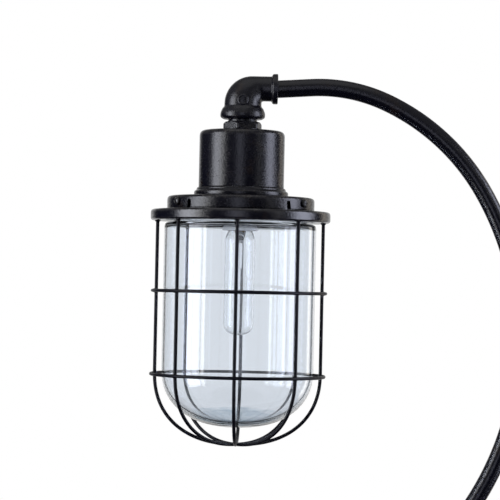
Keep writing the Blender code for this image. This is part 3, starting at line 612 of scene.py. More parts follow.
def skinned_rings(
    centres: np.ndarray,
    ways: np.ndarray,
    radii: np.ndarray,
    across: Sequence[float],
    sides: int = 32,
    bore: float | None = None,
    looped: bool = False,
    wear: np.ndarray | None = None,
) -> Shape:
    """Circles carried along a flat path and skinned.

    A ring's point at angle a is centre + radius (cos a * across + sin a * up), where up is way x across.
    With a bore, an inner ring follows the outer ones back, which makes a tube that is open at both ends.

    Args:
        centres: The path's points, one for each ring.
        ways: The path's unit direction at each ring.
        radii: The outer radius of each ring.
        across: The unit normal of the plane that the path lies in.
        sides: Points in a ring.
        bore: The inner radius of a tube.
        looped: Whether the path closes on itself.
        wear: How worn each ring is.

    Returns:
        A closed shell.
    """
    across = np.asarray(across, float)
    wear = np.zeros(len(centres)) if wear is None else wear
    if bore is not None:
        centres = np.concatenate([centres, centres[::-1]])
        ways = np.concatenate([ways, ways[::-1]])
        radii = np.concatenate([radii, np.full(len(radii), bore)])
        wear = np.concatenate([wear, np.zeros(len(wear))])
        looped = True
    up = np.cross(ways, across)
    angle = np.linspace(0, 2 * np.pi, sides, endpoint=False)
    spoke = np.cos(angle)[None, :, None] * across + np.sin(angle)[None, :, None] * up[:, None, :]
    grid = centres[:, None, :] + radii[:, None, None] * spoke
    index = np.arange(len(centres) * sides).reshape(len(centres), sides)
    after = np.roll(index, -1, axis=1)
    rows = len(centres) if looped else len(centres) - 1
    nxt, nxt_after = np.roll(index, -1, axis=0), np.roll(after, -1, axis=0)
    quads = np.stack([index[:rows], after[:rows], nxt_after[:rows], nxt[:rows]], axis=-1).reshape(-1, 4)
    points = grid.reshape(-1, 3)
    faces = [quads]
    amounts = np.repeat(wear, sides)
    if not looped:
        first = len(points)
        points = np.concatenate([points, centres[[0, -1]]])
        amounts = np.concatenate([amounts, wear[[0, -1]]])
        start = np.stack([after[0], index[0], np.full(sides, first)], axis=-1)
        end = np.stack([index[-1], after[-1], np.full(sides, first + 1)], axis=-1)
        faces += [start, end]
    return Shape(points, faces, amounts).outward()


def corners_to_outline(corners: Sequence[tuple], steps: int = 6) -> tuple[np.ndarray, np.ndarray]:
    """Rounds the corners of an outline.

    A corner (r, z, fillet) becomes the quadratic curve start (1-t)^2 + corner 2t(1-t) + end t^2, and a
    fourth number says how worn its middle is, which also paints a highlight there. Plain (r, z) corners stay
    sharp.

    Args:
        corners: (r, z), (r, z, fillet) or (r, z, fillet, wear) tuples.
        steps: Straight pieces in each rounded corner.

    Returns:
        The points and their wear.
    """
    points, wear = [], []
    t = np.linspace(0, 1, steps + 1)[:, None]
    for place, corner in enumerate(corners):
        here = np.array(corner[:2], float)
        if len(corner) < 3:
            points.append(here[None])
            wear.append(np.zeros(1))
            continue
        before = np.array(corners[place - 1][:2], float)
        after = np.array(corners[(place + 1) % len(corners)][:2], float)
        start = here + (before - here) / np.linalg.norm(before - here) * corner[2]
        end = here + (after - here) / np.linalg.norm(after - here) * corner[2]
        points.append(start * (1 - t) ** 2 + here * 2 * t * (1 - t) + end * t**2)
        amount = corner[3] if len(corner) > 3 else 0.0
        wear.append(amount * np.sin(np.pi * t[:, 0]))
    return np.concatenate(points), np.concatenate(wear)


def turned_corners(
    corners: Sequence[tuple], sides: int = 96, closed: bool = True, relief: Relief | None = None
) -> Shape:
    """Rounds an outline's corners and turns it round the Z axis.

    Args:
        corners: The outline, as corners_to_outline takes it.
        sides: Steps round the axis.
        closed: Whether the outline is a ring, not one that starts and ends on the axis.
        relief: Changes the radius by radius, height and angle.

    Returns:
        A closed shell.
    """
    profile, wear = corners_to_outline(corners)
    return turned_wall(profile, wear, sides, closed, relief)


def bowl_curve(radius: float, height: float, bottom: float, squareness: float, steps: int) -> np.ndarray:
    """A rounded bottom from its rim to its pole: a quarter of the curve |r/a|^n + |z/b|^n = 1.

    Args:
        radius: The rim's radius, a.
        height: The bottom's height, b.
        bottom: The pole's height above zero.
        squareness: The exponent, n.
        steps: Points along the curve.

    Returns:
        Points (radius, height), from just under the rim to the pole.
    """
    angle = np.linspace(0, np.pi / 2, steps + 1)[1:]
    across = radius * np.abs(np.cos(angle)) ** (2 / squareness)
    down = height * np.sin(angle) ** (2 / squareness)
    across[-1] = 0.0
    return np.stack([across, bottom + height - down], axis=-1)


def lump(
    centre: Sequence[float], size: Sequence[float], turn: Matrix | None = None, sides: int = 12
) -> Shape:
    """A weld bead: an ellipsoid a cos v cos u, b cos v sin u, c sin v with a slight unevenness.

    Args:
        centre: Where it sits.
        size: Its three half sizes.
        turn: Turns it before it is placed.
        sides: Steps round it.

    Returns:
        A closed shell.
    """
    rise = np.linspace(-np.pi / 2, np.pi / 2, 9)
    profile = np.stack([np.cos(rise), np.sin(rise)], axis=-1)
    ball = turned_wall(profile, np.full(len(rise), 0.25), sides, closed=False)
    uneven = 1 + 0.08 * np.sin(5 * ball.points[:, :1] + 7 * ball.points[:, 1:2] + 11 * ball.points[:, 2:])
    ball.points = ball.points * uneven * np.asarray(size)
    matrix = Matrix.Translation(Vector(centre)) @ (turn.to_4x4() if turn else Matrix.Identity(4))
    return ball.moved(matrix)


def hexagon(flats: float, soft: float = 0.0006) -> Relief:
    """A relief that cuts a turned shape to a hexagon: the radius is at most apothem / cos(angle within a
    sixth), softened near the corners.

    Args:
        flats: The distance from the axis to a flat.
        soft: How far the corners are rounded in.

    Returns:
        The relief.
    """

    def cut(radius: np.ndarray, _: np.ndarray, angle: np.ndarray) -> np.ndarray:
        """The cut radius at each angle."""
        within = (angle + np.pi / 6) % (np.pi / 3) - np.pi / 6
        edge = flats / np.cos(within)
        corner = flats / math.cos(math.pi / 6) - soft
        return np.minimum(radius, np.minimum(edge, corner))

    return cut


def thread(
    depth: float, pitch: float, low: float, high: float, above: float = 0.0, rounded: bool = False
) -> Relief:
    """A relief that cuts a thread: the radius falls by depth times a wave of z/pitch - angle/2pi, which is
    a triangle, or a cosine if rounded, and the cut fades out over a pitch at each end.

    Args:
        depth: The thread's depth.
        pitch: Its pitch.
        low: The height where it starts.
        high: The height where it ends.
        above: Only points with a larger radius are cut.
        rounded: Whether it is a rolled lamp-cap thread.

    Returns:
        The relief.
    """

    def cut(radius: np.ndarray, height: np.ndarray, angle: np.ndarray) -> np.ndarray:
        """The cut radius at each height and angle."""
        phase = (height / pitch - angle / (2 * np.pi)) % 1.0
        wave = 0.5 - 0.5 * np.cos(2 * np.pi * phase) if rounded else 1 - np.abs(2 * phase - 1)
        fade = np.clip((height - low) / pitch, 0, 1) * np.clip((high - height) / pitch, 0, 1)
        return np.where(radius > above, radius - depth * wave * fade, radius)

    return cut


# ----------------------------------------
# Pieces
# ----------------------------------------


@dataclass(frozen=True)
class Datum:
    """Where things are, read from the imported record: the head's axis and the tube's height."""

    head: Vector
    floor: float

    @classmethod
    def read(cls) -> "Datum":
        """Takes the head's place from the joint that the elbow turns on, and the floor from the pad."""
        joint = next(j for j in frame["joints"] if j["name"] == "elbow_turn")
        return cls(Vector(joint["pos_m"]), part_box("base_pad")[0].z)


def add_piece(
    name: str,
    shape: Shape,
    finish: Finish,
    body: str,
    stands_for: Sequence[str] = (),
    sharp: float = 35.0,
) -> bpy.types.Object:
    """Makes an object from a shape, hangs it on its body and hides the CAD nodes that it stands for.

    Args:
        name: The piece's name.
        shape: Its mesh, in place.
        finish: Its finish.
        body: The CAD body that it rides on.
        stands_for: CAD nodes that it replaces.
        sharp: Edges that turn by more degrees than this stay sharp.

    Returns:
        The object.
    """
    mesh = bpy.data.meshes.new(name)
    mesh.from_pydata(shape.points.tolist(), [], [face for group in shape.faces for face in group.tolist()])
    layer = mesh.attributes.new(WEAR_AND_HIGHLIGHT, "FLOAT", "POINT")
    layer.data.foreach_set("value", shape.wear.astype(np.float32))
    mesh.shade_smooth()
    mesh.set_sharp_from_angle(angle=math.radians(sharp))
    mesh.materials.append(finish.material)
    piece = bpy.data.objects.new(name, mesh)
    bpy.context.scene.collection.objects.link(piece)
    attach(piece, body)
    if stands_for:
        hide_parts(*stands_for)
    LOG.info("%s: %d points on %s", name, len(shape.points), body)
    return piece


def carve(piece: bpy.types.Object, cutters: Sequence[Shape]) -> None:
    """Cuts shapes out of a piece with an exact Boolean, applied at once.

    Args:
        piece: The piece to cut.
        cutters: Closed shells in the piece's frame, none touching another.
    """
    tool = cutters[0].joined(*cutters[1:]) if len(cutters) > 1 else cutters[0]
    mesh = bpy.data.meshes.new("cutter")
    mesh.from_pydata(tool.points.tolist(), [], [face for group in tool.faces for face in group.tolist()])
    helper = bpy.data.objects.new("cutter", mesh)
    bpy.context.scene.collection.objects.link(helper)
    boolean = piece.modifiers.new("cut", "BOOLEAN")
    boolean.object = helper
    boolean.solver = "EXACT"
    graph = bpy.context.evaluated_depsgraph_get()
    cut = bpy.data.meshes.new_from_object(piece.evaluated_get(graph), depsgraph=graph)
    piece.modifiers.remove(boolean)
    old = piece.data
    piece.data = cut
    bpy.data.meshes.remove(old)
    bpy.data.objects.remove(helper)
    bpy.data.meshes.remove(mesh)
    cut.name = piece.name


def dress(nodes: Sequence[str], finish: Finish) -> None:
    """Gives CAD nodes that stay in view a finish."""
    for name in nodes:
        materials = frame["nodes"][name].data.materials
        materials.clear()
        materials.append(finish.material)


def block(low: Sequence[float], high: Sequence[float], top_scale: float = 1.0) -> Shape:
    """A cutter: the eight corners of a box, with the upper four drawn in along X by top_scale."""
    (x0, y0, z0), (x1, y1, z1) = low, high
    points = [(x, y, z0) for x, y in ((x0, y0), (x1, y0), (x1, y1), (x0, y1))]
    points += [(x * top_scale, y, z1) for x, y in ((x0, y0), (x1, y0), (x1, y1), (x0, y1))]
    quads = np.array([(3, 2, 1, 0), (4, 5, 6, 7), (0, 1, 5, 4), (1, 2, 6, 5), (2, 3, 7, 6), (3, 0, 4, 7)])
    return Shape(np.array(points, float), [quads], np.zeros(8)).outward()


@dataclass(frozen=True)
class SlottedScrew:
    """A round-head machine screw with a driver slot, standing on +Z with its head's seat at zero."""

    head_radius: float
    head_height: float
    shank_radius: float
    shank_length: float
    slot_width: float = 0.0011
    slot_depth: float = 0.0012

    def shape(self) -> Shape:
        """The head's dome is an ellipse over the seat, and the shank hangs below it.

        Returns:
            A closed shell that stands on +Z, with its seat at zero.
        """
        dome = np.linspace(0, np.pi / 2, 8)
        rise = self.head_height * (0.25 + 0.75 * np.sin(dome))
        crown = np.stack([self.head_radius * np.cos(dome), rise], axis=-1)
        crown[-1, 0] = 0.0
        edge = [[self.head_radius * 0.96, 0.0], [self.head_radius, 0.0004]]
        rim = np.array([[self.shank_radius, 0.0], *edge])
        shank = np.array([[0.0, -self.shank_length], [self.shank_radius, -self.shank_length]])
        profile = np.concatenate([shank, rim, crown])
        # The head's top is worn to paler grey, which is partly a painted highlight.
        wear = np.where(profile[:, 1] > self.head_height * 0.3, 0.5, 0.0)
        return turned_wall(profile, wear, 32, closed=False)

    def slot_cutter(self, degrees: float) -> Shape:
        """The slot as a box across the head, turned by some degrees about the screw."""
        half, long = self.slot_width / 2, self.head_radius * 1.2
        top = self.head_height * 1.2
        box = block((-long, -half, self.head_height - self.slot_depth), (long, half, top))
        return box.moved(Matrix.Rotation(math.radians(degrees), 4, "Z"))


def slab(outline: np.ndarray, depth: float) -> Shape:
    """An (x, z) outline carried along Y by depth, half of it each way.

    Args:
        outline: The outline's points.
        depth: How thick the slab is.

    Returns:
        A closed shell.
    """
    count = len(outline)
    front = np.stack([outline[:, 0], np.full(count, -depth / 2), outline[:, 1]], axis=-1)
    back = front + (0, depth, 0)
    index = np.arange(count)
    after = np.roll(index, -1)
    sides = np.stack([index, after, after + count, index + count], axis=-1)
    faces = [sides, index[None, ::-1], (index + count)[None]]
    return Shape(np.concatenate([front, back]), faces, np.zeros(2 * count)).outward()


def pipe(bore: float, radius: float, heights: np.ndarray, sides: int, relief: Relief | None = None) -> Shape:
    """A pipe whose outside has a row of points at every height, so that a thread can be cut into it."""
    outside = np.stack([np.full(len(heights), radius), heights], axis=-1)
    inside = np.array([[bore, heights[-1]], [bore, heights[0]]])
    profile = np.concatenate([outside, inside])
    return turned_wall(profile, np.zeros(len(profile)), sides, relief=relief)


def upright_wire(curve: np.ndarray, degrees: float, radius: float, sides: int = 14) -> Shape:
    """A round wire along a curve of (distance from the axis, height) in the upright plane at an angle.

    Args:
        curve: The wire's centreline. Distances below zero are on the other side of the axis.
        degrees: The plane's angle from +X.
        radius: The wire's radius.
        sides: Points round the wire.

    Returns:
        A closed shell.
    """
    angle = math.radians(degrees)
    out = np.array([math.cos(angle), math.sin(angle), 0.0])
    points = curve[:, :1] * out + curve[:, 1:] * np.array([0.0, 0.0, 1.0])
    ways = np.gradient(points, axis=0)
    ways /= np.linalg.norm(ways, axis=1, keepdims=True)
    across = (-out[1], out[0], 0.0)
    return skinned_rings(points, ways, np.full(len(points), radius), across, sides)


def around(radius: float, degrees: float, height: float) -> Vector:
    """A point at a radius, an angle from +X and a height."""
    angle = math.radians(degrees)
    return Vector((radius * math.cos(angle), radius * math.sin(angle), height))


def facing_out(degrees: float, place: Vector) -> Matrix:
    """Carries a shape that stands on +Z to a place where it points away from the axis at an angle."""
    turn = Matrix.Rotation(math.radians(degrees), 4, "Z") @ Matrix.Rotation(math.pi / 2, 4, "Y")
    return Matrix.Translation(place) @ turn


def add_screw(
    name: str,
    screw: SlottedScrew,
    place: Matrix,
    finish: Finish,
    body: str,
    node: str,
    slot_turn: float,
) -> bpy.types.Object:
    """Adds a screw with its driver slot cut.

    Args:
        name: The piece's name.
        screw: Its sizes.
        place: Carries it from +Z to where it sits.
        finish: Its finish.
        body: The body that it rides on.
        node: The CAD node that it stands for.
        slot_turn: The slot's angle about the screw, in degrees.

    Returns:
        The object.
    """
    piece = add_piece(name, screw.shape().moved(place), finish, body, [node])
    carve(piece, [screw.slot_cutter(slot_turn).moved(place)])
    return piece


# ----------------------------------------
# The lamp's sub-assemblies
# ----------------------------------------


@dataclass(frozen=True)
class Base:
    """The round foot: a rubber pad, a cast weight, a spun cover, a floor flange and the cord's bushing."""

    wall: float = 0.0015
    hole: float = 0.0105
    boss_radius: float = 0.048
    boss_foot: float = 0.052
    slope_radius: float = 0.118
    slope_drop: float = 0.007
    edge_drop: float = 0.0155
    bolt_circle: float = 0.031
    bolt_angles: tuple[int, ...] = (45, 135, 225, 315)
    bolt: SlottedScrew = SlottedScrew(0.0048, 0.0036, 0.0023, 0.0238, 0.0012, 0.0014)

    def build(self) -> None:
        """Builds every piece of the foot."""
        self.build_pad()
        self.build_cover()
        self.build_flange()
        self.build_bushing()
        dress(["base_weight"], Finish.CAST_IRON)

    def build_pad(self) -> None:
        """The pad has a soft edge and shallow rings under it, which grip the floor."""
        low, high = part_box("base_pad")
        radius = high.x
        groove = ((0, 0), (0.0008, 0.0007), (0.0022, 0.0007), (0.003, 0))
        rings = [(r + step, low.z + rise) for r in (0.06, 0.09, 0.12) for step, rise in groove]
        corners = [(0.0, low.z), *rings, (radius, low.z, 0.0009), (radius, high.z, 0.0009), (0.0, high.z)]
        shape = turned_corners(corners, 128, closed=False)
        add_piece("ringed_base_pad", shape, Finish.RUBBER, "stand", ["base_pad"])

    def bolt_holes(self, radius: float, low: float, high: float) -> list[Shape]:
        """Upright cutters on the bolt circle."""
        profile = np.array([[0.0, low], [radius, low], [radius, high], [0.0, high]])
        hole = turned_wall(profile, np.zeros(4), 24, closed=False)
        return [hole.moved(Matrix.Translation(around(self.bolt_circle, a, 0.0))) for a in self.bolt_angles]

    def build_cover(self) -> None:
        """The cover is one spun sheet: a flat boss, a shallow cone, a rolled shoulder and an upright rim."""
        low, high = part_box("base_cover")
        top, radius, rim = high.z, high.x, low.z
        inside = top - self.wall
        corners = [
            (self.hole, inside),
            (self.boss_radius - 0.001, inside, 0.0012),
            (self.boss_foot - 0.0005, inside - 0.0035, 0.0012),
            (self.slope_radius - 0.001, inside - self.slope_drop, 0.010),
            (radius - self.wall, inside - self.edge_drop, 0.008),
            (radius - self.wall, rim, 0.0005),
            (radius, rim, 0.0005, 0.7),
            (radius, top - self.edge_drop, 0.009, 0.35),
            (self.slope_radius, top - self.slope_drop, 0.012),
            (self.boss_foot, top - 0.0035, 0.0014),
            (self.boss_radius, top, 0.0016, 0.7),
            (self.hole, top),
        ]
        shape = turned_corners(corners, 160)
        cover = add_piece("spun_base_cover", shape, Finish.IRON_PAINT, "stand", ["base_cover"])
        carve(cover, self.bolt_holes(0.0028, inside - 0.002, top + 0.002))

    def build_flange(self) -> None:
        """The flange is a cast plate with a threaded hub, held down by four slotted bolts."""
        low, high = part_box("floor_flange")
        plate = low.z + 0.0052
        bore, radius = 0.0128, high.y
        corners = [
            (bore, low.z),
            (radius, low.z, 0.0005),
            (radius, plate, 0.0018, 0.8),
            (0.0245, plate, 0.0015),
            (0.0182, plate + 0.005, 0.002),
            (0.0175, high.z - 0.008, 0.001),
            (0.0195, high.z - 0.0065, 0.0012, 0.5),
            (0.0195, high.z, 0.0018, 0.9),
            (bore + 0.0006, high.z, 0.0004),
            (bore, high.z - 0.0012),
        ]
        shape = turned_corners(corners, 96)
        name = "cast_floor_flange"
        flange = add_piece(name, shape, Finish.CAST_PAINT, "stand", ["floor_flange"])
        carve(flange, self.bolt_holes(0.0028, low.z - 0.002, plate + 0.002))
        seat = plate + 0.0003
        for number, angle in enumerate(self.bolt_angles, start=1):
            place = Matrix.Translation(around(self.bolt_circle, angle, seat))
            name = f"slotted_flange_bolt_{number}"
            node = f"flange_bolt_{number}"
            turn = 37.0 * number
            add_screw(name, self.bolt, place, Finish.SCREW_BLACK, "stand", node, turn)

    def build_bushing(self) -> None:
        """The bushing is moulded with a domed flange and a grip ring, and lies along +Y."""
        low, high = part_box("cord_bushing")
        middle = (low.z + high.z) / 2
        outer = (high.z - low.z) / 2
        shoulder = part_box("base_cover")[1].y
        corners = [
            (0.0030, low.y),
            (0.0046, low.y, 0.0004),
            (0.0046, low.y + 0.0012),
            (0.0042, low.y + 0.0020),
            (0.0042, shoulder),
            (outer, shoulder, 0.0003),
            (outer, high.y, 0.0014),
            (0.0036, high.y, 0.0004),
            (0.0030, high.y - 0.0008),
        ]
        place = Matrix.Translation((0, 0, middle)) @ Matrix.Rotation(-math.pi / 2, 4, "X")
        shape = turned_corners(corners, 48).moved(place)
        add_piece("moulded_cord_bushing", shape, Finish.RUBBER, "stand", ["cord_bushing"])


@dataclass(frozen=True)
class Post:
    """Two lengths of iron pipe with threaded ends, joined by a coupling under a reducing coupling."""

    radius: float = 0.0125
    bore: float = 0.0105
    fit: float = 0.0128
    waist: float = 0.0170
    bead: float = 0.0188
    neck: float = 0.0145
    small_bore: float = 0.0098
    thread_length: float = 0.030
    pitch: float = 0.0018
    depth: float = 0.0007

    def build(self) -> None:
        """Builds the pipes and both couplings."""
        self.build_pipe("threaded_lower_post", "lower_post")
        self.build_pipe("threaded_upper_post", "upper_post")
        self.build_coupling()
        self.build_reducer()

    def build_pipe(self, name: str, node: str) -> None:
        """A pipe with a tapering thread at each end, part of which shows beside its coupling.

        Args:
            name: The piece's name.
            node: The CAD node that it stands for.
        """
        (low, high) = (corner.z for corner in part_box(node))
        length = self.thread_length
        step = self.pitch / 8
        rows = np.concatenate(
            [
                np.arange(low, low + length, step),
                np.linspace(low + length, high - length, 12),
                np.arange(high - length + step, high, step),
                [high],
            ]
        )
        lower = thread(self.depth, self.pitch, low - self.pitch, low + length, above=self.bore + 0.001)
        upper = thread(self.depth, self.pitch, high - length, high + self.pitch, above=self.bore + 0.001)

        def both(radius: np.ndarray, height: np.ndarray, angle: np.ndarray) -> np.ndarray:
            """The radius with the thread of either end cut into it."""
            return upper(lower(radius, height, angle), height, angle)

        shape = pipe(self.bore, self.radius, rows, 56, both)
        add_piece(name, shape, Finish.TUBE_PAINT, "stand", [node])

    def build_coupling(self) -> None:
        """A straight coupling with a rounded band at each end and a narrower waist."""
        (low, high) = (corner.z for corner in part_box("post_coupling"))
        corners = [
            (self.fit, low),
            (self.bead, low, 0.0014, 0.9),
            (self.bead, low + 0.0065, 0.0012, 0.5),
            (self.waist, low + 0.008, 0.001),
            (self.waist, high - 0.008, 0.001),
            (self.bead, high - 0.0065, 0.0012, 0.5),
            (self.bead, high, 0.0014, 0.9),
            (self.fit, high),
        ]
        shape = turned_corners(corners, 96)
        add_piece("cast_post_coupling", shape, Finish.CAST_PAINT, "stand", ["post_coupling"])

    def build_reducer(self) -> None:
        """The reducing coupling narrows from the post's thread to the tube's."""
        (low, high) = (corner.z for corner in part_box("reducing_coupling"))
        corners = [
            (self.fit, low),
            (self.bead, low, 0.0014, 0.9),
            (self.bead, low + 0.0065, 0.0012, 0.5),
            (self.waist, low + 0.008, 0.001),
            (self.waist, low + 0.020, 0.005),
            (self.neck, low + 0.031, 0.004),
            (self.neck, low + 0.0375, 0.0008),
            (self.neck + 0.0015, low + 0.0390, 0.001, 0.5),
            (self.neck + 0.0015, high, 0.0014, 0.9),
            (self.small_bore, high),
            (self.small_bore, low + 0.024),
            (self.fit, low + 0.024),
        ]
        shape = turned_corners(corners, 96)
        name, nodes = "cast_reducing_coupling", ["reducing_coupling"]
        add_piece(name, shape, Finish.CAST_PAINT, "stand", nodes)


@dataclass(frozen=True)
class ArcTube:
    """The one bent tube, from inside the elbow round to the post. It lies in the XZ plane.

    A run is (length, 0) where it is straight, and (radius, degrees) where it bends; a bend that turns
    downwards is positive.
    """

    head: Vector
    radius: float = 0.0095
    bore: float = 0.0080
    start: float = 0.018
    runs: tuple[tuple[float, float], ...] = (
        (0.018, 0.0),
        (0.080, -4.0),
        (0.032, 0.0),
        (0.171, 28.0),
        (0.235, 35.5),
        (0.322, 70.5),
        (0.260, -40.0),
        (0.040, 0.0),
    )
    spacing: float = 0.004

    def route(self) -> tuple[np.ndarray, np.ndarray]:
        """Walks the runs from the elbow down.

        With a heading a below the horizontal, a straight run adds its length times (cos a, -sin a), and a
        bend of radius R and sense s = +1 or -1 adds R s (sin a - sin a0, cos a - cos a0).

        Returns:
            The centreline's points and its unit directions.
        """
        place, heading = np.array([self.start, 0.0]), 0.0
        points, headings = [place[None]], [np.zeros(1)]
        for size, sweep in self.runs:
            turn = math.radians(sweep)
            length = size if sweep == 0 else size * abs(turn)
            share = np.linspace(0, 1, max(2, round(length / self.spacing)) + 1)[1:]
            angle = heading + turn * share
            if sweep == 0:
                step = length * share[:, None] * [math.cos(heading), -math.sin(heading)]
            else:
                signed = math.copysign(size, turn)
                step = signed * np.stack(
                    [np.sin(angle) - math.sin(heading), np.cos(angle) - math.cos(heading)], axis=-1
                )
            points.append(place + step)
            headings.append(angle)
            place, heading = points[-1][-1], float(angle[-1])
        flat, angle = np.concatenate(points), np.concatenate(headings)
        centres = np.stack([flat[:, 0], np.zeros(len(flat)), flat[:, 1]], axis=-1) + np.array(self.head)
        ways = np.stack([np.cos(angle), np.zeros(len(angle)), -np.sin(angle)], axis=-1)
        return centres, ways

    def build(self) -> None:
        """Builds the tube and dresses the lead that runs through it."""
        centres, ways = self.route()
        radii = np.full(len(centres), self.radius)
        shape = skinned_rings(centres, ways, radii, (0, 1, 0), 48, bore=self.bore)
        add_piece("bent_arc_tube", shape, Finish.TUBE_PAINT, "stand", ["arc_tube"])
        dress(["lead_in_stand", "lead_in_elbow", "lead_in_head"], Finish.PVC)


@dataclass(frozen=True)
class HeadPart:
    """A sub-assembly that is built about the head's own axis, with depths below zero."""

    head: Vector

    @property
    def place(self) -> Matrix:
        """Carries a shape from the head's own axis to its place."""
        return Matrix.Translation(self.head)


@dataclass(frozen=True)
class Elbow(HeadPart):
    """The cast reducing elbow: a small arm towards the tube, a wide leg down to the head."""

    arm_radius: float = 0.0135
    leg_radius: float = 0.0200
    heel_radius: float = 0.0300
    arm_end: float = 0.0375
    depth: float = 0.0335
    fillet: float = 0.0020
    arm_bead: float = 0.0164
    leg_bead: float = 0.0242
    arm_bore: float = 0.0100
    leg_bore: float = 0.0133
    inner_bend: float = 0.0145
    mark_centre: tuple[float, float] = (0.0, -0.0133)
    mark_radius: float = 0.0049
    mark_wire: float = 0.0012

    @property
    def crotch(self) -> np.ndarray:
        """(x, z) of the point inside the bend that every ring of it starts from."""
        return np.array([self.leg_radius + self.fillet, -self.arm_radius - self.fillet])

    @property
    def heel(self) -> np.ndarray:
        """(x, z) of the centre of the heel's outer arc."""
        return np.array([self.heel_radius - self.leg_radius, self.arm_radius - self.heel_radius])

    def reach(self, ways: np.ndarray) -> np.ndarray:
        """How far the heel is from the crotch along unit directions: to the heel's arc by the chord
        formula, or to the arm's straight top past the arc's end.

        Args:
            ways: Unit directions (x, z).

        Returns:
            The distances.
        """
        offset = self.crotch - self.heel
        along = ways @ offset
        arc = -along + np.sqrt(along**2 - offset @ offset + self.heel_radius**2)
        rise = np.maximum(ways[..., 1], 1e-6)
        top = (self.arm_radius - self.crotch[1]) / rise
        past_arc = self.crotch[0] + ways[..., 0] * top > self.heel[0]
        return np.where(past_arc, top, arc)

    def sections(self) -> tuple[np.ndarray, ...]:
        """Rings from the arm's mouth round to the leg's mouth.

        Returns:
            Their centres, directions, radii and wear.
        """
        end, arm, bead = self.arm_end, self.arm_radius, self.arm_bead
        # The beads' worn crests turn paler grey: partly wear, partly a painted highlight.
        arm_line, arm_wear = corners_to_outline(
            [
                (bead - 0.0012, end),
                (bead, end - 0.0004, 0.0004, 0.5),
                (bead, end - 0.0056, 0.0016, 0.9),
                (arm, end - 0.0068, 0.0010),
                (arm, self.crotch[0] + 0.0005),
            ]
        )
        zeros = np.zeros(len(arm_line))
        centres = [np.stack([arm_line[:, 1], zeros, zeros], axis=-1)]
        ways = [np.tile([-1.0, 0.0, 0.0], (len(arm_line), 1))]
        radii, wear = [arm_line[:, 0]], [arm_wear]

        angle = np.linspace(0, np.pi / 2, 28)
        out = np.stack([-np.sin(angle), np.cos(angle)], axis=-1)
        reach = self.reach(out)
        middle = self.crotch + out * ((reach + self.fillet) / 2)[:, None]
        flat = np.zeros(len(angle))
        centres.append(np.stack([middle[:, 0], flat, middle[:, 1]], axis=-1))
        ways.append(np.stack([-out[:, 1], flat, out[:, 0]], axis=-1))
        radii.append((reach - self.fillet) / 2)
        wear.append(flat)

        leg_line, leg_wear = corners_to_outline(
            [
                (self.leg_radius, self.crotch[1] - 0.0005),
                (self.leg_radius, -self.depth + 0.0140, 0.0012),
                (self.leg_radius + 0.0022, -self.depth + 0.0115, 0.0008, 0.9),
                (self.leg_bead, -self.depth + 0.0068, 0.0020, 0.5),
                (self.leg_bead, -self.depth + 0.0020, 0.0018, 0.4),
                (self.leg_bead - 0.0034, -self.depth, 0.0008),
                (self.leg_bore, -self.depth),
            ]
        )
        zeros = np.zeros(len(leg_line))
        centres.append(np.stack([zeros, zeros, leg_line[:, 1]], axis=-1))
        ways.append(np.tile([0.0, 0.0, -1.0], (len(leg_line), 1)))
        radii.append(leg_line[:, 0])
        wear.append(leg_wear)
        return tuple(np.concatenate(part) for part in (centres, ways, radii, wear))

    def passage(self) -> Shape:
        """The bent bore, a little longer than the elbow at both mouths.

        Returns:
            A closed shell to cut with.
        """
        angle = np.linspace(0, np.pi / 2, 13)
        bend = self.inner_bend
        over = 0.003
        x = np.concatenate([[self.arm_end + over], bend * (1 - np.sin(angle)), [0.0]])
        z = np.concatenate([[0.0], -bend * (1 - np.cos(angle)), [-self.depth - over]])
        turn = np.concatenate([[0.0], angle, [np.pi / 2]])
        flat = np.zeros(len(x))
        centres = np.stack([x, flat, z], axis=-1)
        ways = np.stack([-np.cos(turn), flat, -np.sin(turn)], axis=-1)
        radii = self.arm_bore + (self.leg_bore - self.arm_bore) * np.sin(turn)
        return skinned_rings(centres, ways, radii, (0, 1, 0), 48)

    def face_at(self, x: np.ndarray, z: np.ndarray) -> np.ndarray:
        """How far the casting's front stands from its middle plane: on the ring through (x, z) that starts
        at the crotch, the height of a circle above its diameter; on the leg, of the leg's own circle.

        Args:
            x: Distances along the arm from the head's axis.
            z: Heights from the arm's centreline.

        Returns:
            The distances.
        """
        offset = np.stack([x, z], axis=-1) - self.crotch
        along = np.linalg.norm(offset, axis=-1)
        reach = self.reach(offset / along[..., None])
        middle, radius = (reach + self.fillet) / 2, (reach - self.fillet) / 2
        bend = np.sqrt(radius**2 - (along - middle) ** 2)
        leg = np.sqrt(self.leg_radius**2 - x**2)
        return np.where(z > self.crotch[1], bend, leg)

    def casting_mark(self) -> Shape:
        """A plain raised ring: a circle on the face, whose round section stands half out.

        Returns:
            A closed shell.
        """
        turns, sections = (np.linspace(0, 2 * np.pi, count, endpoint=False) for count in (64, 12))
        turn, section = np.meshgrid(turns, sections, indexing="ij")
        reach = self.mark_radius + self.mark_wire * np.cos(section)
        x = self.mark_centre[0] + reach * np.cos(turn)
        z = self.mark_centre[1] + reach * np.sin(turn)
        y = -self.face_at(x, z) - self.mark_wire * 0.7 * np.sin(section)
        index = np.arange(turn.size).reshape(turn.shape)
        right, above = np.roll(index, -1, axis=0), np.roll(index, -1, axis=1)
        corner = np.roll(right, -1, axis=1)
        quads = np.stack([index, right, corner, above], axis=-1).reshape(-1, 4)
        points = np.stack([x, y, z], axis=-1).reshape(-1, 3)
        # The raised crest is worn to paler grey, which is partly a painted highlight.
        wear = np.where(np.sin(section) > 0.8, 0.3, 0.0).reshape(-1)
        return Shape(points, [quads], wear).outward()

    def build(self) -> None:
        """Builds the casting, bores it and sets its mark."""
        centres, ways, radii, wear = self.sections()
        casting = skinned_rings(centres, ways, radii, (0, 1, 0), 72, wear=wear).moved(self.place)
        elbow = add_piece("cast_elbow", casting, Finish.CAST_PAINT, "elbow", ["elbow"])
        carve(elbow, [self.passage().moved(self.place)])
        mark = self.casting_mark().moved(self.place)
        add_piece("plain_casting_ring", mark, Finish.CAST_PAINT, "elbow")


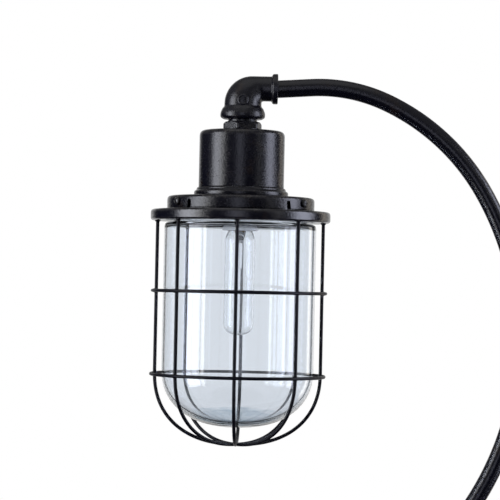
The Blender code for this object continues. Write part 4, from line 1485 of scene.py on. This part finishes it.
@dataclass(frozen=True)
class Fitting(HeadPart):
    """The hexagon bushing under the elbow, with the threaded nipple, washer and nut that clamp the head."""

    hexagon_flats: float = 0.0190
    hexagon_turn: float = 16.6
    hexagon_top: float = 0.0364
    depth: float = 0.0448
    top: float = 0.0338
    neck: float = 0.0163
    spigot_top: float = 0.0200
    bore: float = 0.0063
    nipple_radius: float = 0.0060
    nipple_bore: float = 0.0040
    nipple_top: float = 0.0300
    nipple_depth: float = 0.0580

    def build(self) -> None:
        """Builds the bushing, the nipple, the washer and the nut."""
        turned_flats = hexagon(self.hexagon_flats)
        turn = math.radians(self.hexagon_turn)
        low, high = -self.depth + 0.0012, -self.hexagon_top

        def flats(radius: np.ndarray, height: np.ndarray, angle: np.ndarray) -> np.ndarray:
            """The hexagon's radius between its two faces, chamfered towards the top."""
            cut = turned_flats(radius, height, angle - turn + np.pi / 6)
            chamfer = 0.0186 + 1.1 * (high - height)
            within = (height > low - 1e-5) & (height < high + 1e-5) & (radius > self.neck + 0.0002)
            return np.where(within, np.minimum(cut, chamfer), radius)

        rows = np.linspace(low, high, 18)
        body = np.concatenate(
            [
                [[self.bore, -self.spigot_top], [self.bore, -self.depth]],
                [[0.0190, -self.depth], [0.0194, -self.depth + 0.0004], [0.0194, low - 0.0001]],
                np.stack([np.full(len(rows), 0.0225), rows], axis=-1),
                [[self.neck, high + 0.0001], [self.neck, high + 0.0008]],
                [[self.neck - 0.0009, high + 0.0012], [self.neck - 0.0009, -self.top - 0.0004]],
                [[self.neck - 0.0005, -self.top], [0.0124, -self.top]],
                [[0.0124, -self.spigot_top - 0.0005], [0.0119, -self.spigot_top]],
            ]
        )
        # The hexagon's corners are worn to paler grey, which is partly a painted highlight.
        wear = np.where(body[:, 0] > 0.0200, 0.5, 0.0)
        bushing = turned_wall(body, wear, 144, relief=flats).moved(self.place)
        add_piece("turned_hex_bushing", bushing, Finish.CAST_PAINT, "head", ["hex_bushing"])

        rows = np.linspace(-self.nipple_depth, -self.nipple_top, 260)
        rolled = thread(0.0005, 0.0009, rows[0], rows[-1], above=self.nipple_bore + 0.001)
        nipple = pipe(self.nipple_bore, self.nipple_radius, rows, 40, rolled).moved(self.place)
        add_piece("rolled_nipple", nipple, Finish.ZINC, "head", ["threaded_nipple"])
        self.build_washer()
        self.build_nut()

    def build_washer(self) -> None:
        """The lock washer has sixteen teeth, a square wave of its outer radius."""
        low, high = (corner.z - self.head.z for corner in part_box("lock_washer"))

        def teeth(radius: np.ndarray, _: np.ndarray, angle: np.ndarray) -> np.ndarray:
            """The outer radius, cut back between the teeth."""
            return np.where(radius > 0.008, radius - 0.0009 * (np.cos(16 * angle) > 0), radius)

        corners = [(0.0066, low), (0.0100, low), (0.0100, high), (0.0066, high)]
        washer = turned_corners(corners, 128, relief=teeth).moved(self.place)
        add_piece("toothed_lock_washer", washer, Finish.ZINC, "head", ["lock_washer"])

    def build_nut(self) -> None:
        """The lock nut is hexagonal, with its corners chamfered at both faces."""
        low, high = (corner.z - self.head.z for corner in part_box("lock_nut"))
        rows = np.linspace(low, high, 12)
        outside = np.stack([np.full(len(rows), 0.0100), rows], axis=-1)
        body = np.concatenate([[[self.bore, high], [self.bore, low]], outside])
        flat_cut = hexagon(0.0086, 0.0001)

        def flats(radius: np.ndarray, height: np.ndarray, angle: np.ndarray) -> np.ndarray:
            """The hexagon's radius, less near both faces."""
            chamfer = 0.0089 + 1.4 * np.minimum(height - low, high - height)
            return np.where(radius > 0.008, np.minimum(flat_cut(radius, height, angle), chamfer), radius)

        nut = turned_wall(body, np.zeros(len(body)), 96, relief=flats).moved(self.place)
        add_piece("brass_lock_nut", nut, Finish.BRASS, "head", ["lock_nut"])


@dataclass(frozen=True)
class Housing(HeadPart):
    """The spun socket cup, the step ring and the glass collar with its vents and three screws."""

    wall: float = 0.0015
    hole: float = 0.0063
    cup_top: float = 0.0451
    cup_radius: float = 0.0460
    cup_depth: float = 0.1075
    step_radius: float = 0.0508
    step_depth: float = 0.1170
    collar_radius: float = 0.0794
    collar_depth: float = 0.1312
    vent_angles: tuple[float, ...] = (-133.0, -50.5, 47.0, 129.5)
    vent_top: float = 0.1225
    screw_angles: tuple[float, ...] = (-147.0, -33.0, 90.0)
    screw_depth: float = 0.1245
    screw: SlottedScrew = SlottedScrew(0.0045, 0.0033, 0.0020, 0.0032, 0.0011, 0.0013)

    def build(self) -> None:
        """Builds the three turned shells and the screws."""
        self.build_cup()
        self.build_step()
        self.build_collar()
        self.build_screws()

    def build_cup(self) -> None:
        """The cup is closed above and open below, where its edge is turned in a little."""
        top, low, radius, wall = -self.cup_top, -self.cup_depth, self.cup_radius, self.wall
        corners = [
            (self.hole, top - wall),
            (radius - wall, top - wall - 0.0012, 0.005),
            (radius - wall, low, 0.0004),
            (radius, low, 0.0006, 0.9),
            (radius, top - 0.0012, 0.0060, 0.75),
            (0.030, top, 0.006),
            (self.hole, top),
        ]
        cup = turned_corners(corners, 160).moved(self.place)
        add_piece("spun_socket_cup", cup, Finish.IRON_PAINT, "head", ["socket_cup"])

    def build_step(self) -> None:
        """The step ring has a bead at its top edge and a rounded shoulder below."""
        top, low, radius = -self.cup_depth - 0.0003, -self.step_depth, self.step_radius
        corners = [
            (0.043, top),
            (0.043, low),
            (radius, low, 0.0015, 0.4),
            (radius, low + 0.0052, 0.0016, 0.9),
            (0.0482, low + 0.0064, 0.0010),
            (0.0478, top, 0.0014, 0.9),
        ]
        ring = turned_corners(corners, 160).moved(self.place)
        add_piece("turned_step_ring", ring, Finish.IRON_PAINT, "head", ["step_ring"])

    def build_collar(self) -> None:
        """The collar is a flat disc with a rolled shoulder and an upright skirt, notched by four vents."""
        top, low, radius, wall = -self.step_depth - 0.0003, -self.collar_depth, self.collar_radius, self.wall
        corners = [
            (0.042, top),
            (0.042, top - wall),
            (radius - wall, top - wall, 0.003),
            (radius - wall, low, 0.0004),
            (radius, low, 0.0006, 0.6),
            (radius, top - 0.0004, 0.0042, 0.9),
            (radius - 0.008, top, 0.003),
        ]
        collar = add_piece(
            "spun_glass_collar",
            turned_corners(corners, 200).moved(self.place),
            Finish.IRON_PAINT,
            "head",
            ["glass_collar"],
        )
        foot, wide, narrow = low - 0.002, 0.0042, 0.0020
        notch = np.array(
            [[-wide, foot], [wide, foot], [narrow, -self.vent_top], [-narrow, -self.vent_top]]
        )
        cutters = []
        for angle in self.vent_angles:
            turn = Matrix.Rotation(math.radians(angle + 90), 4, "Z")
            spot = Matrix.Translation(around(radius, angle, 0.0))
            cutters.append(slab(notch, 0.010).moved(self.place @ spot @ turn))
        hole_profile = np.array([[0.0, -0.004], [0.0023, -0.004], [0.0023, 0.004], [0.0, 0.004]])
        hole = turned_wall(hole_profile, np.zeros(4), 24, closed=False)
        for angle in self.screw_angles:
            spot = around(radius, angle, -self.screw_depth)
            cutters.append(hole.moved(self.place @ facing_out(angle, spot)))
        carve(collar, cutters)

    def build_screws(self) -> None:
        """Each collar screw backs out on its own body."""
        for number, angle in enumerate(self.screw_angles, start=1):
            spot = around(self.collar_radius + 0.0003, angle, -self.screw_depth)
            place = self.place @ facing_out(angle, spot)
            name = f"slotted_collar_screw_{number}"
            node = f"collar_screw_{number}"
            add_screw(name, self.screw, place, Finish.SCREW_BLACK, node, node, 50.0 * number)


@dataclass(frozen=True)
class Socket(HeadPart):
    """The lamp socket: a porcelain body with a rolled brass shell, hung in a bent strap."""

    radius: float = 0.0195
    top: float = 0.0840
    floor: float = 0.1130
    depth: float = 0.1539
    well: float = 0.0146
    strap_reach: float = 0.0217
    strap_top: float = 0.0484
    strap_depth: float = 0.0980
    strap_width: float = 0.016
    strap_wall: float = 0.0015
    side_screw_depth: float = 0.0910
    terminal_reach: float = 0.0110
    side_screw: SlottedScrew = SlottedScrew(0.0036, 0.0023, 0.0018, 0.0070)
    terminal_screw: SlottedScrew = SlottedScrew(0.0034, 0.0022, 0.0018, 0.0063)

    def build(self) -> None:
        """Builds the body, the shell, the strap and the screws."""
        corners = [
            (0.0030, -self.top),
            (0.0030, -self.floor),
            (self.well, -self.floor),
            (self.well, -self.depth, 0.0006),
            (self.radius, -self.depth, 0.0016),
            (self.radius, -self.depth + 0.0060, 0.0005),
            (self.radius - 0.0008, -self.depth + 0.0066, 0.0005),
            (self.radius - 0.0008, -self.top - 0.0120, 0.0006),
            (self.radius, -self.top - 0.0112, 0.0006),
            (self.radius, -self.top, 0.0022),
        ]
        body = turned_corners(corners, 96).moved(self.place)
        add_piece("glazed_socket_body", body, Finish.PORCELAIN, "head", ["socket_body"])
        self.build_shell()
        self.build_strap()
        self.build_screws()

    def build_shell(self) -> None:
        """The shell is thin brass, rolled so that both its faces follow the lamp cap's round thread."""
        rows = np.linspace(-0.1520, -0.1150, 150)
        outside = np.stack([np.full(len(rows), 0.0143), rows], axis=-1)
        inside = np.stack([np.full(len(rows), 0.0138), rows[::-1]], axis=-1)
        profile = np.concatenate([outside, inside])
        rolled = thread(0.00045, 0.0036, rows[0], rows[-1], rounded=True)
        shell = turned_wall(profile, np.zeros(len(profile)), 72, relief=rolled).moved(self.place)
        add_piece("rolled_screw_shell", shell, Finish.BRASS, "head", ["screw_shell"])
        corners = [(0.0, -0.1143), (0.0050, -0.1143, 0.0005), (0.0055, -0.1133), (0.0, -0.1133)]
        contact = turned_corners(corners, 40, closed=False).moved(self.place)
        add_piece("pressed_centre_contact", contact, Finish.BRASS, "head", ["centre_contact"])

    def build_strap(self) -> None:
        """The strap is one flat bar bent down at both ends, drilled for the nipple and two screws."""
        reach, inner = self.strap_reach, self.strap_reach - self.strap_wall
        top, low, wall = -self.strap_top, -self.strap_depth, self.strap_wall
        outline, _ = corners_to_outline(
            [
                (-reach, low, 0.0004),
                (-reach, top, 0.003),
                (reach, top, 0.003),
                (reach, low, 0.0004),
                (inner, low, 0.0004),
                (inner, top - wall, 0.0015),
                (-inner, top - wall, 0.0015),
                (-inner, low, 0.0004),
            ]
        )
        bar = slab(outline, self.strap_width).moved(self.place)
        strap = add_piece("bent_socket_strap", bar, Finish.ZINC, "head", ["socket_bracket"])
        bore = np.array([[0.0, -0.060], [0.0064, -0.060], [0.0064, -0.040], [0.0, -0.040]])
        side = np.array([[0.0, -0.003], [0.0021, -0.003], [0.0021, 0.003], [0.0, 0.003]])
        hole = turned_wall(side, np.zeros(4), 24, closed=False)
        depth = -self.side_screw_depth
        holes = [hole.moved(self.place @ facing_out(a, around(reach, a, depth))) for a in (0.0, 180.0)]
        carve(strap, [turned_wall(bore, np.zeros(4), 32, closed=False).moved(self.place), *holes])

    def build_screws(self) -> None:
        """Two screws hold the strap to the body, and two more clamp the wires on its top."""
        for number, angle in enumerate((180.0, 0.0), start=1):
            spot = around(self.strap_reach + 0.0003, angle, -self.side_screw_depth)
            matrix = self.place @ facing_out(angle, spot)
            name, node = f"slotted_bracket_screw_{number}", f"bracket_screw_{number}"
            add_screw(name, self.side_screw, matrix, Finish.ZINC, "head", node, 40.0 * number)
        for number, side in enumerate((-1, 1), start=1):
            seat = Vector((0, side * self.terminal_reach, -self.top + 0.0003))
            name, node = f"slotted_terminal_screw_{number}", f"terminal_screw_{number}"
            matrix = self.place @ Matrix.Translation(seat)
            add_screw(name, self.terminal_screw, matrix, Finish.BRASS, "head", node, 65.0 * number)


@dataclass(frozen=True)
class Cage(HeadPart):
    """The cage ring with eight wire rods, two hoops and their welds."""

    ring_radius: float = 0.0970
    ring_paint_gap: float = 0.0001
    ring_top: float = 0.1323
    ring_depth: float = 0.1442
    ring_bore: float = 0.0715
    upstand_radius: float = 0.0762
    upstand_top: float = 0.1212
    ledge: float = 0.1300
    wall: float = 0.0015
    rod_circle: float = 0.0894
    rod_radius: float = 0.0019
    rod_round: float = 0.0779
    depth: float = 0.3839
    turn: float = -1.8
    rod_count: int = 8
    hoop_depths: tuple[float, ...] = (0.2198, 0.3094)
    hoop_circle: float = 0.0933
    hoop_radius: float = 0.0018
    squareness: float = 2.3

    def build(self) -> None:
        """Builds the ring, the rods, the hoops and the welds."""
        self.build_ring()
        self.build_rods()
        self.build_hoops()
        self.build_welds()

    def build_ring(self) -> None:
        """The ring is a thick flat band, with a thin upstand inside the collar and a ledge for the glass."""
        low, top, radius = -self.ring_depth, -self.ring_top, self.ring_radius - self.ring_paint_gap
        corners = [
            (self.ring_bore, low, 0.0006),
            (radius, low, 0.0034, 0.6),
            (radius, top, 0.0038, 0.7),
            (self.upstand_radius, top, 0.0005),
            (self.upstand_radius, -self.upstand_top, 0.0005),
            (self.upstand_radius - self.wall, -self.upstand_top, 0.0005),
            (self.upstand_radius - self.wall, -self.ledge),
            (self.ring_bore, -self.ledge, 0.0004),
        ]
        ring = turned_corners(corners, 200).moved(self.place)
        add_piece("cast_cage_ring", ring, Finish.RING_PAINT, "cage", ["cage_ring"])

    def rod_curve(self) -> np.ndarray:
        """(radius, height) down a rod: straight, then the rounded bottom to the axis."""
        straight = np.linspace(-self.ring_depth + 0.0002, -self.depth + self.rod_round, 30)
        upright = np.stack([np.full(len(straight), self.rod_circle), straight], axis=-1)
        return np.concatenate(
            [upright, bowl_curve(self.rod_circle, self.rod_round, -self.depth, self.squareness, 56)]
        )

    def build_rods(self) -> None:
        """One rod runs from front to back under the jar; the others end on it at the bottom."""
        curve = self.rod_curve()
        far_side = curve[::-1][1:] * [-1, 1]
        for number in range(self.rod_count):
            if number == self.rod_count // 2:
                continue
            angle = self.turn - 90 + 360 / self.rod_count * number
            line = np.concatenate([curve, far_side]) if number == 0 else curve
            rod = upright_wire(line, angle, self.rod_radius).moved(self.place)
            name = f"drawn_cage_rod_{number + 1}"
            add_piece(name, rod, Finish.WIRE_PAINT, "cage", [f"cage_rod_{number + 1}"])

    def build_hoops(self) -> None:
        """Each hoop is a round wire closed on itself, outside the rods."""
        section = np.linspace(0, 2 * np.pi, 14, endpoint=False)
        for number, depth in enumerate(self.hoop_depths, start=1):
            radius = self.hoop_circle + self.hoop_radius * np.cos(section)
            height = -depth + self.hoop_radius * np.sin(section)
            profile = np.stack([radius, height], axis=-1)
            hoop = turned_wall(profile, np.zeros(len(section)), 160).moved(self.place)
            name = f"rolled_cage_hoop_{number}"
            add_piece(name, hoop, Finish.WIRE_PAINT, "cage", [f"cage_hoop_{number}"])

    def build_welds(self) -> None:
        """A small bead lies between a rod and a hoop, a ring of bead at each rod's top, and one where all
        the rods meet."""
        beads = []
        for number in range(self.rod_count):
            angle = self.turn - 90 + 360 / self.rod_count * number
            turn = Matrix.Rotation(math.radians(angle), 3, "Z")
            between = (self.rod_circle + self.hoop_circle) / 2
            for depth in self.hoop_depths:
                beads.append(lump(around(between, angle, -depth), (0.0019, 0.0030, 0.0023), turn))
            top = around(self.rod_circle, angle, -self.ring_depth)
            beads.append(lump(top, (0.0031, 0.0031, 0.0018), turn))
        beads.append(lump((0, 0, -self.depth + 0.0003), (0.0060, 0.0060, 0.0018)))
        welds = beads[0].joined(*beads[1:]).moved(self.place)
        add_piece("cage_weld_beads", welds, Finish.WIRE_PAINT, "cage")


@dataclass(frozen=True)
class Jar(HeadPart):
    """The blown jar: a turned-out lip, a neck, a shoulder, straight walls and a thick rounded bottom."""

    radius: float = 0.0820
    neck: float = 0.0710
    lip: float = 0.0743
    lip_top: float = 0.1245
    lip_depth: float = 0.1284
    neck_depth: float = 0.1450
    shoulder: float = 0.1464
    depth: float = 0.3656
    round_height: float = 0.0637
    wall: float = 0.0030
    floor: float = 0.0045
    squareness: float = 2.3

    def build(self) -> None:
        """Builds the jar and the gasket under its lip."""
        inner = self.radius - self.wall
        neck = self.neck - self.wall
        straight = -self.depth + self.round_height
        walls, _ = corners_to_outline(
            [
                (inner, straight),
                (inner, -self.shoulder - self.wall, 0.0032),
                (neck, -self.shoulder - self.wall + 0.0014, 0.0020),
                (neck, -self.lip_top, 0.0012),
                (self.lip, -self.lip_top, 0.0016),
                (self.lip, -self.lip_depth, 0.0010),
                (self.neck, -self.lip_depth, 0.0008),
                (self.neck, -self.neck_depth, 0.0008),
                (self.radius, -self.shoulder, 0.0045),
                (self.radius, straight),
            ]
        )
        bowl = self.round_height - self.floor
        inside = bowl_curve(inner, bowl, -self.depth + self.floor, self.squareness, 40)
        outside = bowl_curve(self.radius, self.round_height, -self.depth, self.squareness, 48)
        profile = np.concatenate([inside[::-1], walls, outside])
        jar = turned_wall(profile, np.zeros(len(profile)), 160, closed=False).moved(self.place)
        name, nodes = "blown_glass_jar", ["glass_jar"]
        add_piece(name, jar, Finish.JAR_GLASS, "cage", nodes, sharp=60)
        low, high = (corner.z - self.head.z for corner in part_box("glass_gasket"))
        seal_bore, soft = 0.0717, 0.0003
        ends = ((seal_bore, low), (self.lip, low), (self.lip, high), (seal_bore, high))
        corners = [(*end, soft) for end in ends]
        seal = turned_corners(corners, 128).moved(self.place)
        add_piece("moulded_glass_gasket", seal, Finish.SILICONE, "cage", ["glass_gasket"])


@dataclass(frozen=True)
class Bulb(HeadPart):
    """A clear tubular bulb with a rolled screw cap, a pressed stem and a fine squirrel-cage filament."""

    cap_radius: float = 0.0131
    cap_top: float = 0.1165
    cap_depth: float = 0.1415
    radius: float = 0.0165
    neck: float = 0.0125
    depth: float = 0.2662
    round_height: float = 0.0150
    wall: float = 0.0010
    strands: int = 6
    strand_reach: float = 0.0070
    strand_top: float = 0.1975
    strand_bottom: float = 0.2450
    strand_radius: float = 0.00012
    squareness: float = 2.6

    def build(self) -> None:
        """Builds the cap, the envelope, the stem and the filament."""
        self.build_cap()
        self.build_envelope()
        self.build_stem()

    def build_cap(self) -> None:
        """The cap's side carries a round rolled thread, and its crown closes in to the soldered contact."""
        rows = np.linspace(-self.cap_depth, -self.cap_top - 0.0040, 120)
        side = np.stack([np.full(len(rows), self.cap_radius), rows], axis=-1)
        top = -self.cap_top
        crown = np.array([[0.0105, top - 0.0022], [0.0070, top - 0.0004], [0.0, top]])
        profile = np.concatenate([[[0.0, -self.cap_depth]], side, crown])
        rolled = thread(0.0007, 0.0036, rows[0], rows[-1] - 0.001, above=0.011, rounded=True)
        cap = turned_wall(profile, np.zeros(len(profile)), 72, closed=False, relief=rolled).moved(self.place)
        add_piece("rolled_bulb_cap", cap, Finish.NICKEL, "bulb", ["bulb_cap"])
        low, high = (corner.z - self.head.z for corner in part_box("bulb_contact"))
        solder = [(0.0, low), (0.0040, low, 0.0004), (0.0030, high, 0.0006), (0.0, high)]
        contact = turned_corners(solder, 40, closed=False).moved(self.place)
        add_piece("soldered_bulb_contact", contact, Finish.SOLDER, "bulb", ["bulb_contact"])

    def build_envelope(self) -> None:
        """The envelope is a thin tube with a soft shoulder and a squared-off end."""
        thin, low, wall = self.radius - self.wall, -self.depth + self.round_height, self.wall
        mouth = -self.cap_depth - 0.0003
        walls, _ = corners_to_outline(
            [
                (thin, low),
                (thin, -0.1615, 0.005),
                (self.neck - wall, -0.1540, 0.003),
                (self.neck - wall, mouth),
                (self.neck, mouth),
                (self.neck, -0.1540, 0.003),
                (self.radius, -0.1610, 0.005),
                (self.radius, low),
            ]
        )
        inside = bowl_curve(thin, self.round_height - wall, -self.depth + wall, self.squareness, 20)
        outside = bowl_curve(self.radius, self.round_height, -self.depth, self.squareness, 24)
        profile = np.concatenate([inside[::-1], walls, outside])
        glass = turned_wall(profile, np.zeros(len(profile)), 96, closed=False).moved(self.place)
        name, nodes = "blown_bulb_glass", ["bulb_glass"]
        add_piece(name, glass, Finish.BULB_GLASS, "bulb", nodes, sharp=60)

    def build_stem(self) -> None:
        """The stem is a flared glass rod, with strands of filament wire standing in a ring below."""
        corners = [
            (0.0, -0.1950),
            (0.0025, -0.1950, 0.0012),
            (0.0028, -0.1680, 0.004),
            (0.0088, -0.1455, 0.002),
            (0.0088, -0.1430, 0.0005),
            (0.0, -0.1430),
        ]
        stem = turned_corners(corners, 48, closed=False).moved(self.place)
        name, nodes = "pressed_bulb_stem", ["bulb_stem"]
        add_piece(name, stem, Finish.BULB_GLASS, "bulb", nodes, sharp=60)
        strands = []
        heights = np.linspace(-self.strand_top, -self.strand_bottom, 24)
        bow = self.strand_reach + 0.0012 * np.sin(np.linspace(0, np.pi, len(heights)))
        for strand in range(self.strands):
            angle = 300 / (self.strands - 1) * strand
            curve = np.stack([bow, heights], axis=-1)
            strands.append(upright_wire(curve, angle, self.strand_radius, 8))
        wires = strands[0].joined(*strands[1:]).moved(self.place)
        add_piece("drawn_filament", wires, Finish.TUNGSTEN, "bulb", ["bulb_filament"])


# ----------------------------------------
# Studio
# ----------------------------------------


@dataclass(frozen=True)
class Softbox:
    """A rectangular lamp that faces the head."""

    name: str
    azimuth: float
    distance: float
    height: float
    size: tuple[float, float]
    radiance: float
    colour: str = "#ffffff"

    def build(self, aim: Vector) -> None:
        """Places the lamp round an aim point.

        The azimuth is taken from the camera's side, which is -Y, towards +X. The power of a flat lamp that
        sends out a radiance L from an area A is pi L A.

        Args:
            aim: What the lamp faces.
        """
        angle = math.radians(self.azimuth)
        lamp = bpy.data.lights.new(self.name, "AREA")
        lamp.shape = "RECTANGLE"
        lamp.size, lamp.size_y = self.size
        lamp.energy = math.pi * self.radiance * self.size[0] * self.size[1]
        lamp.color = linear(self.colour)[:3]
        spot = bpy.data.objects.new(self.name, lamp)
        bpy.context.scene.collection.objects.link(spot)
        offset = Vector((math.sin(angle), -math.cos(angle), 0)) * self.distance
        spot.location = aim + offset + Vector((0, 0, self.height))
        spot.rotation_euler = (aim - spot.location).to_track_quat("-Z", "Y").to_euler()
        spot.visible_camera = False


@dataclass(frozen=True)
class Studio:
    """A pale floor, a white backdrop, soft lamps and the camera."""

    head: Vector
    floor: float
    floor_radius: float = 3.5
    floor_clear: float = 2.0
    floor_glow: float = 0.4
    floor_gap: float = 0.0004
    lens: float = 165.6
    sensor: float = 36.0
    distance: float = 2.484
    pitch: float = 0.947
    roll: float = 1.2
    aside: float = 0.00724
    below: float = 0.1744
    aim_drop: float = 0.15
    backdrop_range: tuple[float, float] = (0.80, 0.93)
    backdrop_level: float = 0.85
    sky_range: tuple[float, float] = (0.0, 0.4)
    sky_level: tuple[float, float] = (0.012, 0.16)
    boxes: tuple[Softbox, ...] = field(
        default=(
            Softbox("left_softbox", -71.0, 2.2, 0.0, (0.92, 2.4), 4.4, "#f2f5ff"),
            Softbox("left_strip", -54.0, 2.2, 0.0, (0.22, 2.4), 4.0),
            Softbox("right_softbox", 86.0, 2.2, 0.1, (1.25, 2.4), 3.6, "#e6eaff"),
            Softbox("right_strip", 48.0, 2.2, 0.1, (0.10, 2.4), 1.6),
            Softbox("rim_strip", 133.0, 2.2, 0.0, (0.40, 2.4), 1.3, "#fff6ea"),
            Softbox("front_strip", -5.0, 2.9, 0.0, (0.80, 2.0), 0.85, "#e8ebff"),
            Softbox("top_soft", -20.0, 0.5, 1.9, (2.0, 2.0), 0.3),
        )
    )

    def build(self) -> None:
        """Builds the whole studio."""
        self.build_floor()
        self.build_world()
        for box in self.boxes:
            box.build(self.head - Vector((0, 0, self.aim_drop)))
        self.build_camera()
        bpy.context.scene.view_settings.view_transform = "Standard"

    def build_floor(self) -> None:
        """A pale painted floor that thins out to nothing before its edge."""
        angle = np.linspace(0, 2 * np.pi, 128, endpoint=False)
        rim = self.floor_radius * np.stack([np.cos(angle), np.sin(angle)], axis=-1)
        points = np.concatenate([rim, np.full((len(rim), 1), self.floor - self.floor_gap)], axis=1)
        mesh = bpy.data.meshes.new("studio_floor")
        mesh.from_pydata(points.tolist(), [], [list(range(len(points)))])
        floor = bpy.data.objects.new("studio_floor", mesh)
        bpy.context.scene.collection.objects.link(floor)
        floor.visible_glossy = False

        material, tree, shader = new_tree("pale_painted_floor", Roughness=0.7, Specular_IOR_Level=0.2)
        place = add_node(tree, "ShaderNodeTexCoord").outputs["Object"]
        paint = add_node(
            tree, "ShaderNodeTexNoise", {"Scale": per_metre(60.0), "Detail": 4.0}, {"Vector": place}
        )
        tone = add_node(
            tree,
            "ShaderNodeMix",
            {6: linear("#f2f2f1"), 7: linear("#ececec")},
            {0: paint.outputs["Fac"]},
            data_type="RGBA",
        )
        radius = add_node(tree, "ShaderNodeVectorMath", links={0: place}, operation="LENGTH")
        fade = add_node(
            tree,
            "ShaderNodeMapRange",
            {"From Min": self.floor_clear, "From Max": self.floor_radius, "To Min": 1.0, "To Max": 0.0},
            {"Value": radius.outputs["Value"]},
            interpolation_type="SMOOTHSTEP",
        )
        camera_ray = add_node(tree, "ShaderNodeLightPath").outputs["Is Camera Ray"]
        glow = add_node(tree, "ShaderNodeMath", {1: self.floor_glow}, {0: camera_ray}, operation="MULTIPLY")
        shader.inputs["Emission Color"].default_value = (1.0, 1.0, 1.0, 1.0)
        tree.links.new(glow.outputs["Value"], shader.inputs["Emission Strength"])
        tree.links.new(tone.outputs[2], shader.inputs["Base Color"])
        tree.links.new(fade.outputs["Result"], shader.inputs["Alpha"])
        mesh.materials.append(material)

    def build_world(self) -> None:
        """White to the eye and through glass. To everything else it is a studio: a white backdrop behind,
        some light from above, and dim towards the camera and the floor."""
        world = bpy.data.worlds.new("studio")
        world.use_nodes = True
        tree = world.node_tree
        tree.nodes.clear()
        path = add_node(tree, "ShaderNodeLightPath").outputs
        seen = add_node(
            tree,
            "ShaderNodeMath",
            links={0: path["Is Camera Ray"], 1: path["Is Transmission Ray"]},
            operation="MAXIMUM",
        )
        direction = add_node(tree, "ShaderNodeTexCoord").outputs["Generated"]
        parts = add_node(tree, "ShaderNodeSeparateXYZ", links={0: direction}).outputs
        backdrop = add_node(
            tree,
            "ShaderNodeMapRange",
            {
                "From Min": self.backdrop_range[0],
                "From Max": self.backdrop_range[1],
                "To Max": self.backdrop_level,
            },
            {"Value": parts["Y"]},
            interpolation_type="SMOOTHSTEP",
        )
        sky = add_node(
            tree,
            "ShaderNodeMapRange",
            {
                "From Min": self.sky_range[0],
                "From Max": self.sky_range[1],
                "To Min": self.sky_level[0],
                "To Max": self.sky_level[1],
            },
            {"Value": parts["Z"]},
            interpolation_type="SMOOTHSTEP",
        )
        glow = add_node(
            tree,
            "ShaderNodeMath",
            links={0: backdrop.outputs["Result"], 1: sky.outputs["Result"]},
            operation="MAXIMUM",
        )
        strength = add_node(
            tree,
            "ShaderNodeMix",
            {3: 1.0},
            {0: seen.outputs["Value"], 2: glow.outputs["Value"]},
            data_type="FLOAT",
        )
        sky_shader = add_node(
            tree, "ShaderNodeBackground", {"Color": (1.0, 1.0, 1.0, 1.0)}, {"Strength": strength.outputs[0]}
        )
        add_node(tree, "ShaderNodeOutputWorld", links={"Surface": sky_shader.outputs["Background"]})
        bpy.context.scene.world = world

    def build_camera(self) -> None:
        """Sets the camera from where the head's axis and the tube's centreline lie off its view axis.

        It looks along F = (0, cos p, sin p). Its right R and up U are +X and (0, -sin p, cos p) turned by
        the roll. It stands at head - distance F + aside R - below U.
        """
        pitch, roll = math.radians(self.pitch), math.radians(self.roll)
        forward = Vector((0, math.cos(pitch), math.sin(pitch)))
        level, upright = Vector((1, 0, 0)), Vector((0, -math.sin(pitch), math.cos(pitch)))
        right = math.cos(roll) * level + math.sin(roll) * upright
        above = -math.sin(roll) * level + math.cos(roll) * upright
        data = bpy.data.cameras.new("camera")
        data.lens = self.lens
        data.sensor_width = self.sensor
        data.clip_end = 100.0
        camera = bpy.data.objects.new("camera", data)
        bpy.context.scene.collection.objects.link(camera)
        spot = self.head - self.distance * forward + self.aside * right - self.below * above
        turn = Matrix((right, above, -forward)).transposed()
        camera.matrix_world = Matrix.Translation(spot) @ turn.to_4x4()
        bpy.context.scene.camera = camera


def main() -> None:
    """Builds the studio and then the lamp, from the floor up to the head."""
    logging.basicConfig(level=logging.INFO, format="%(name)s: %(message)s")
    datum = Datum.read()
    Studio(datum.head, datum.floor).build()
    Base().build()
    Post().build()
    ArcTube(datum.head).build()
    Elbow(datum.head).build()
    Fitting(datum.head).build()
    Housing(datum.head).build()
    Socket(datum.head).build()
    Cage(datum.head).build()
    Jar(datum.head).build()
    Bulb(datum.head).build()


if __name__ == "__main__":
    main()
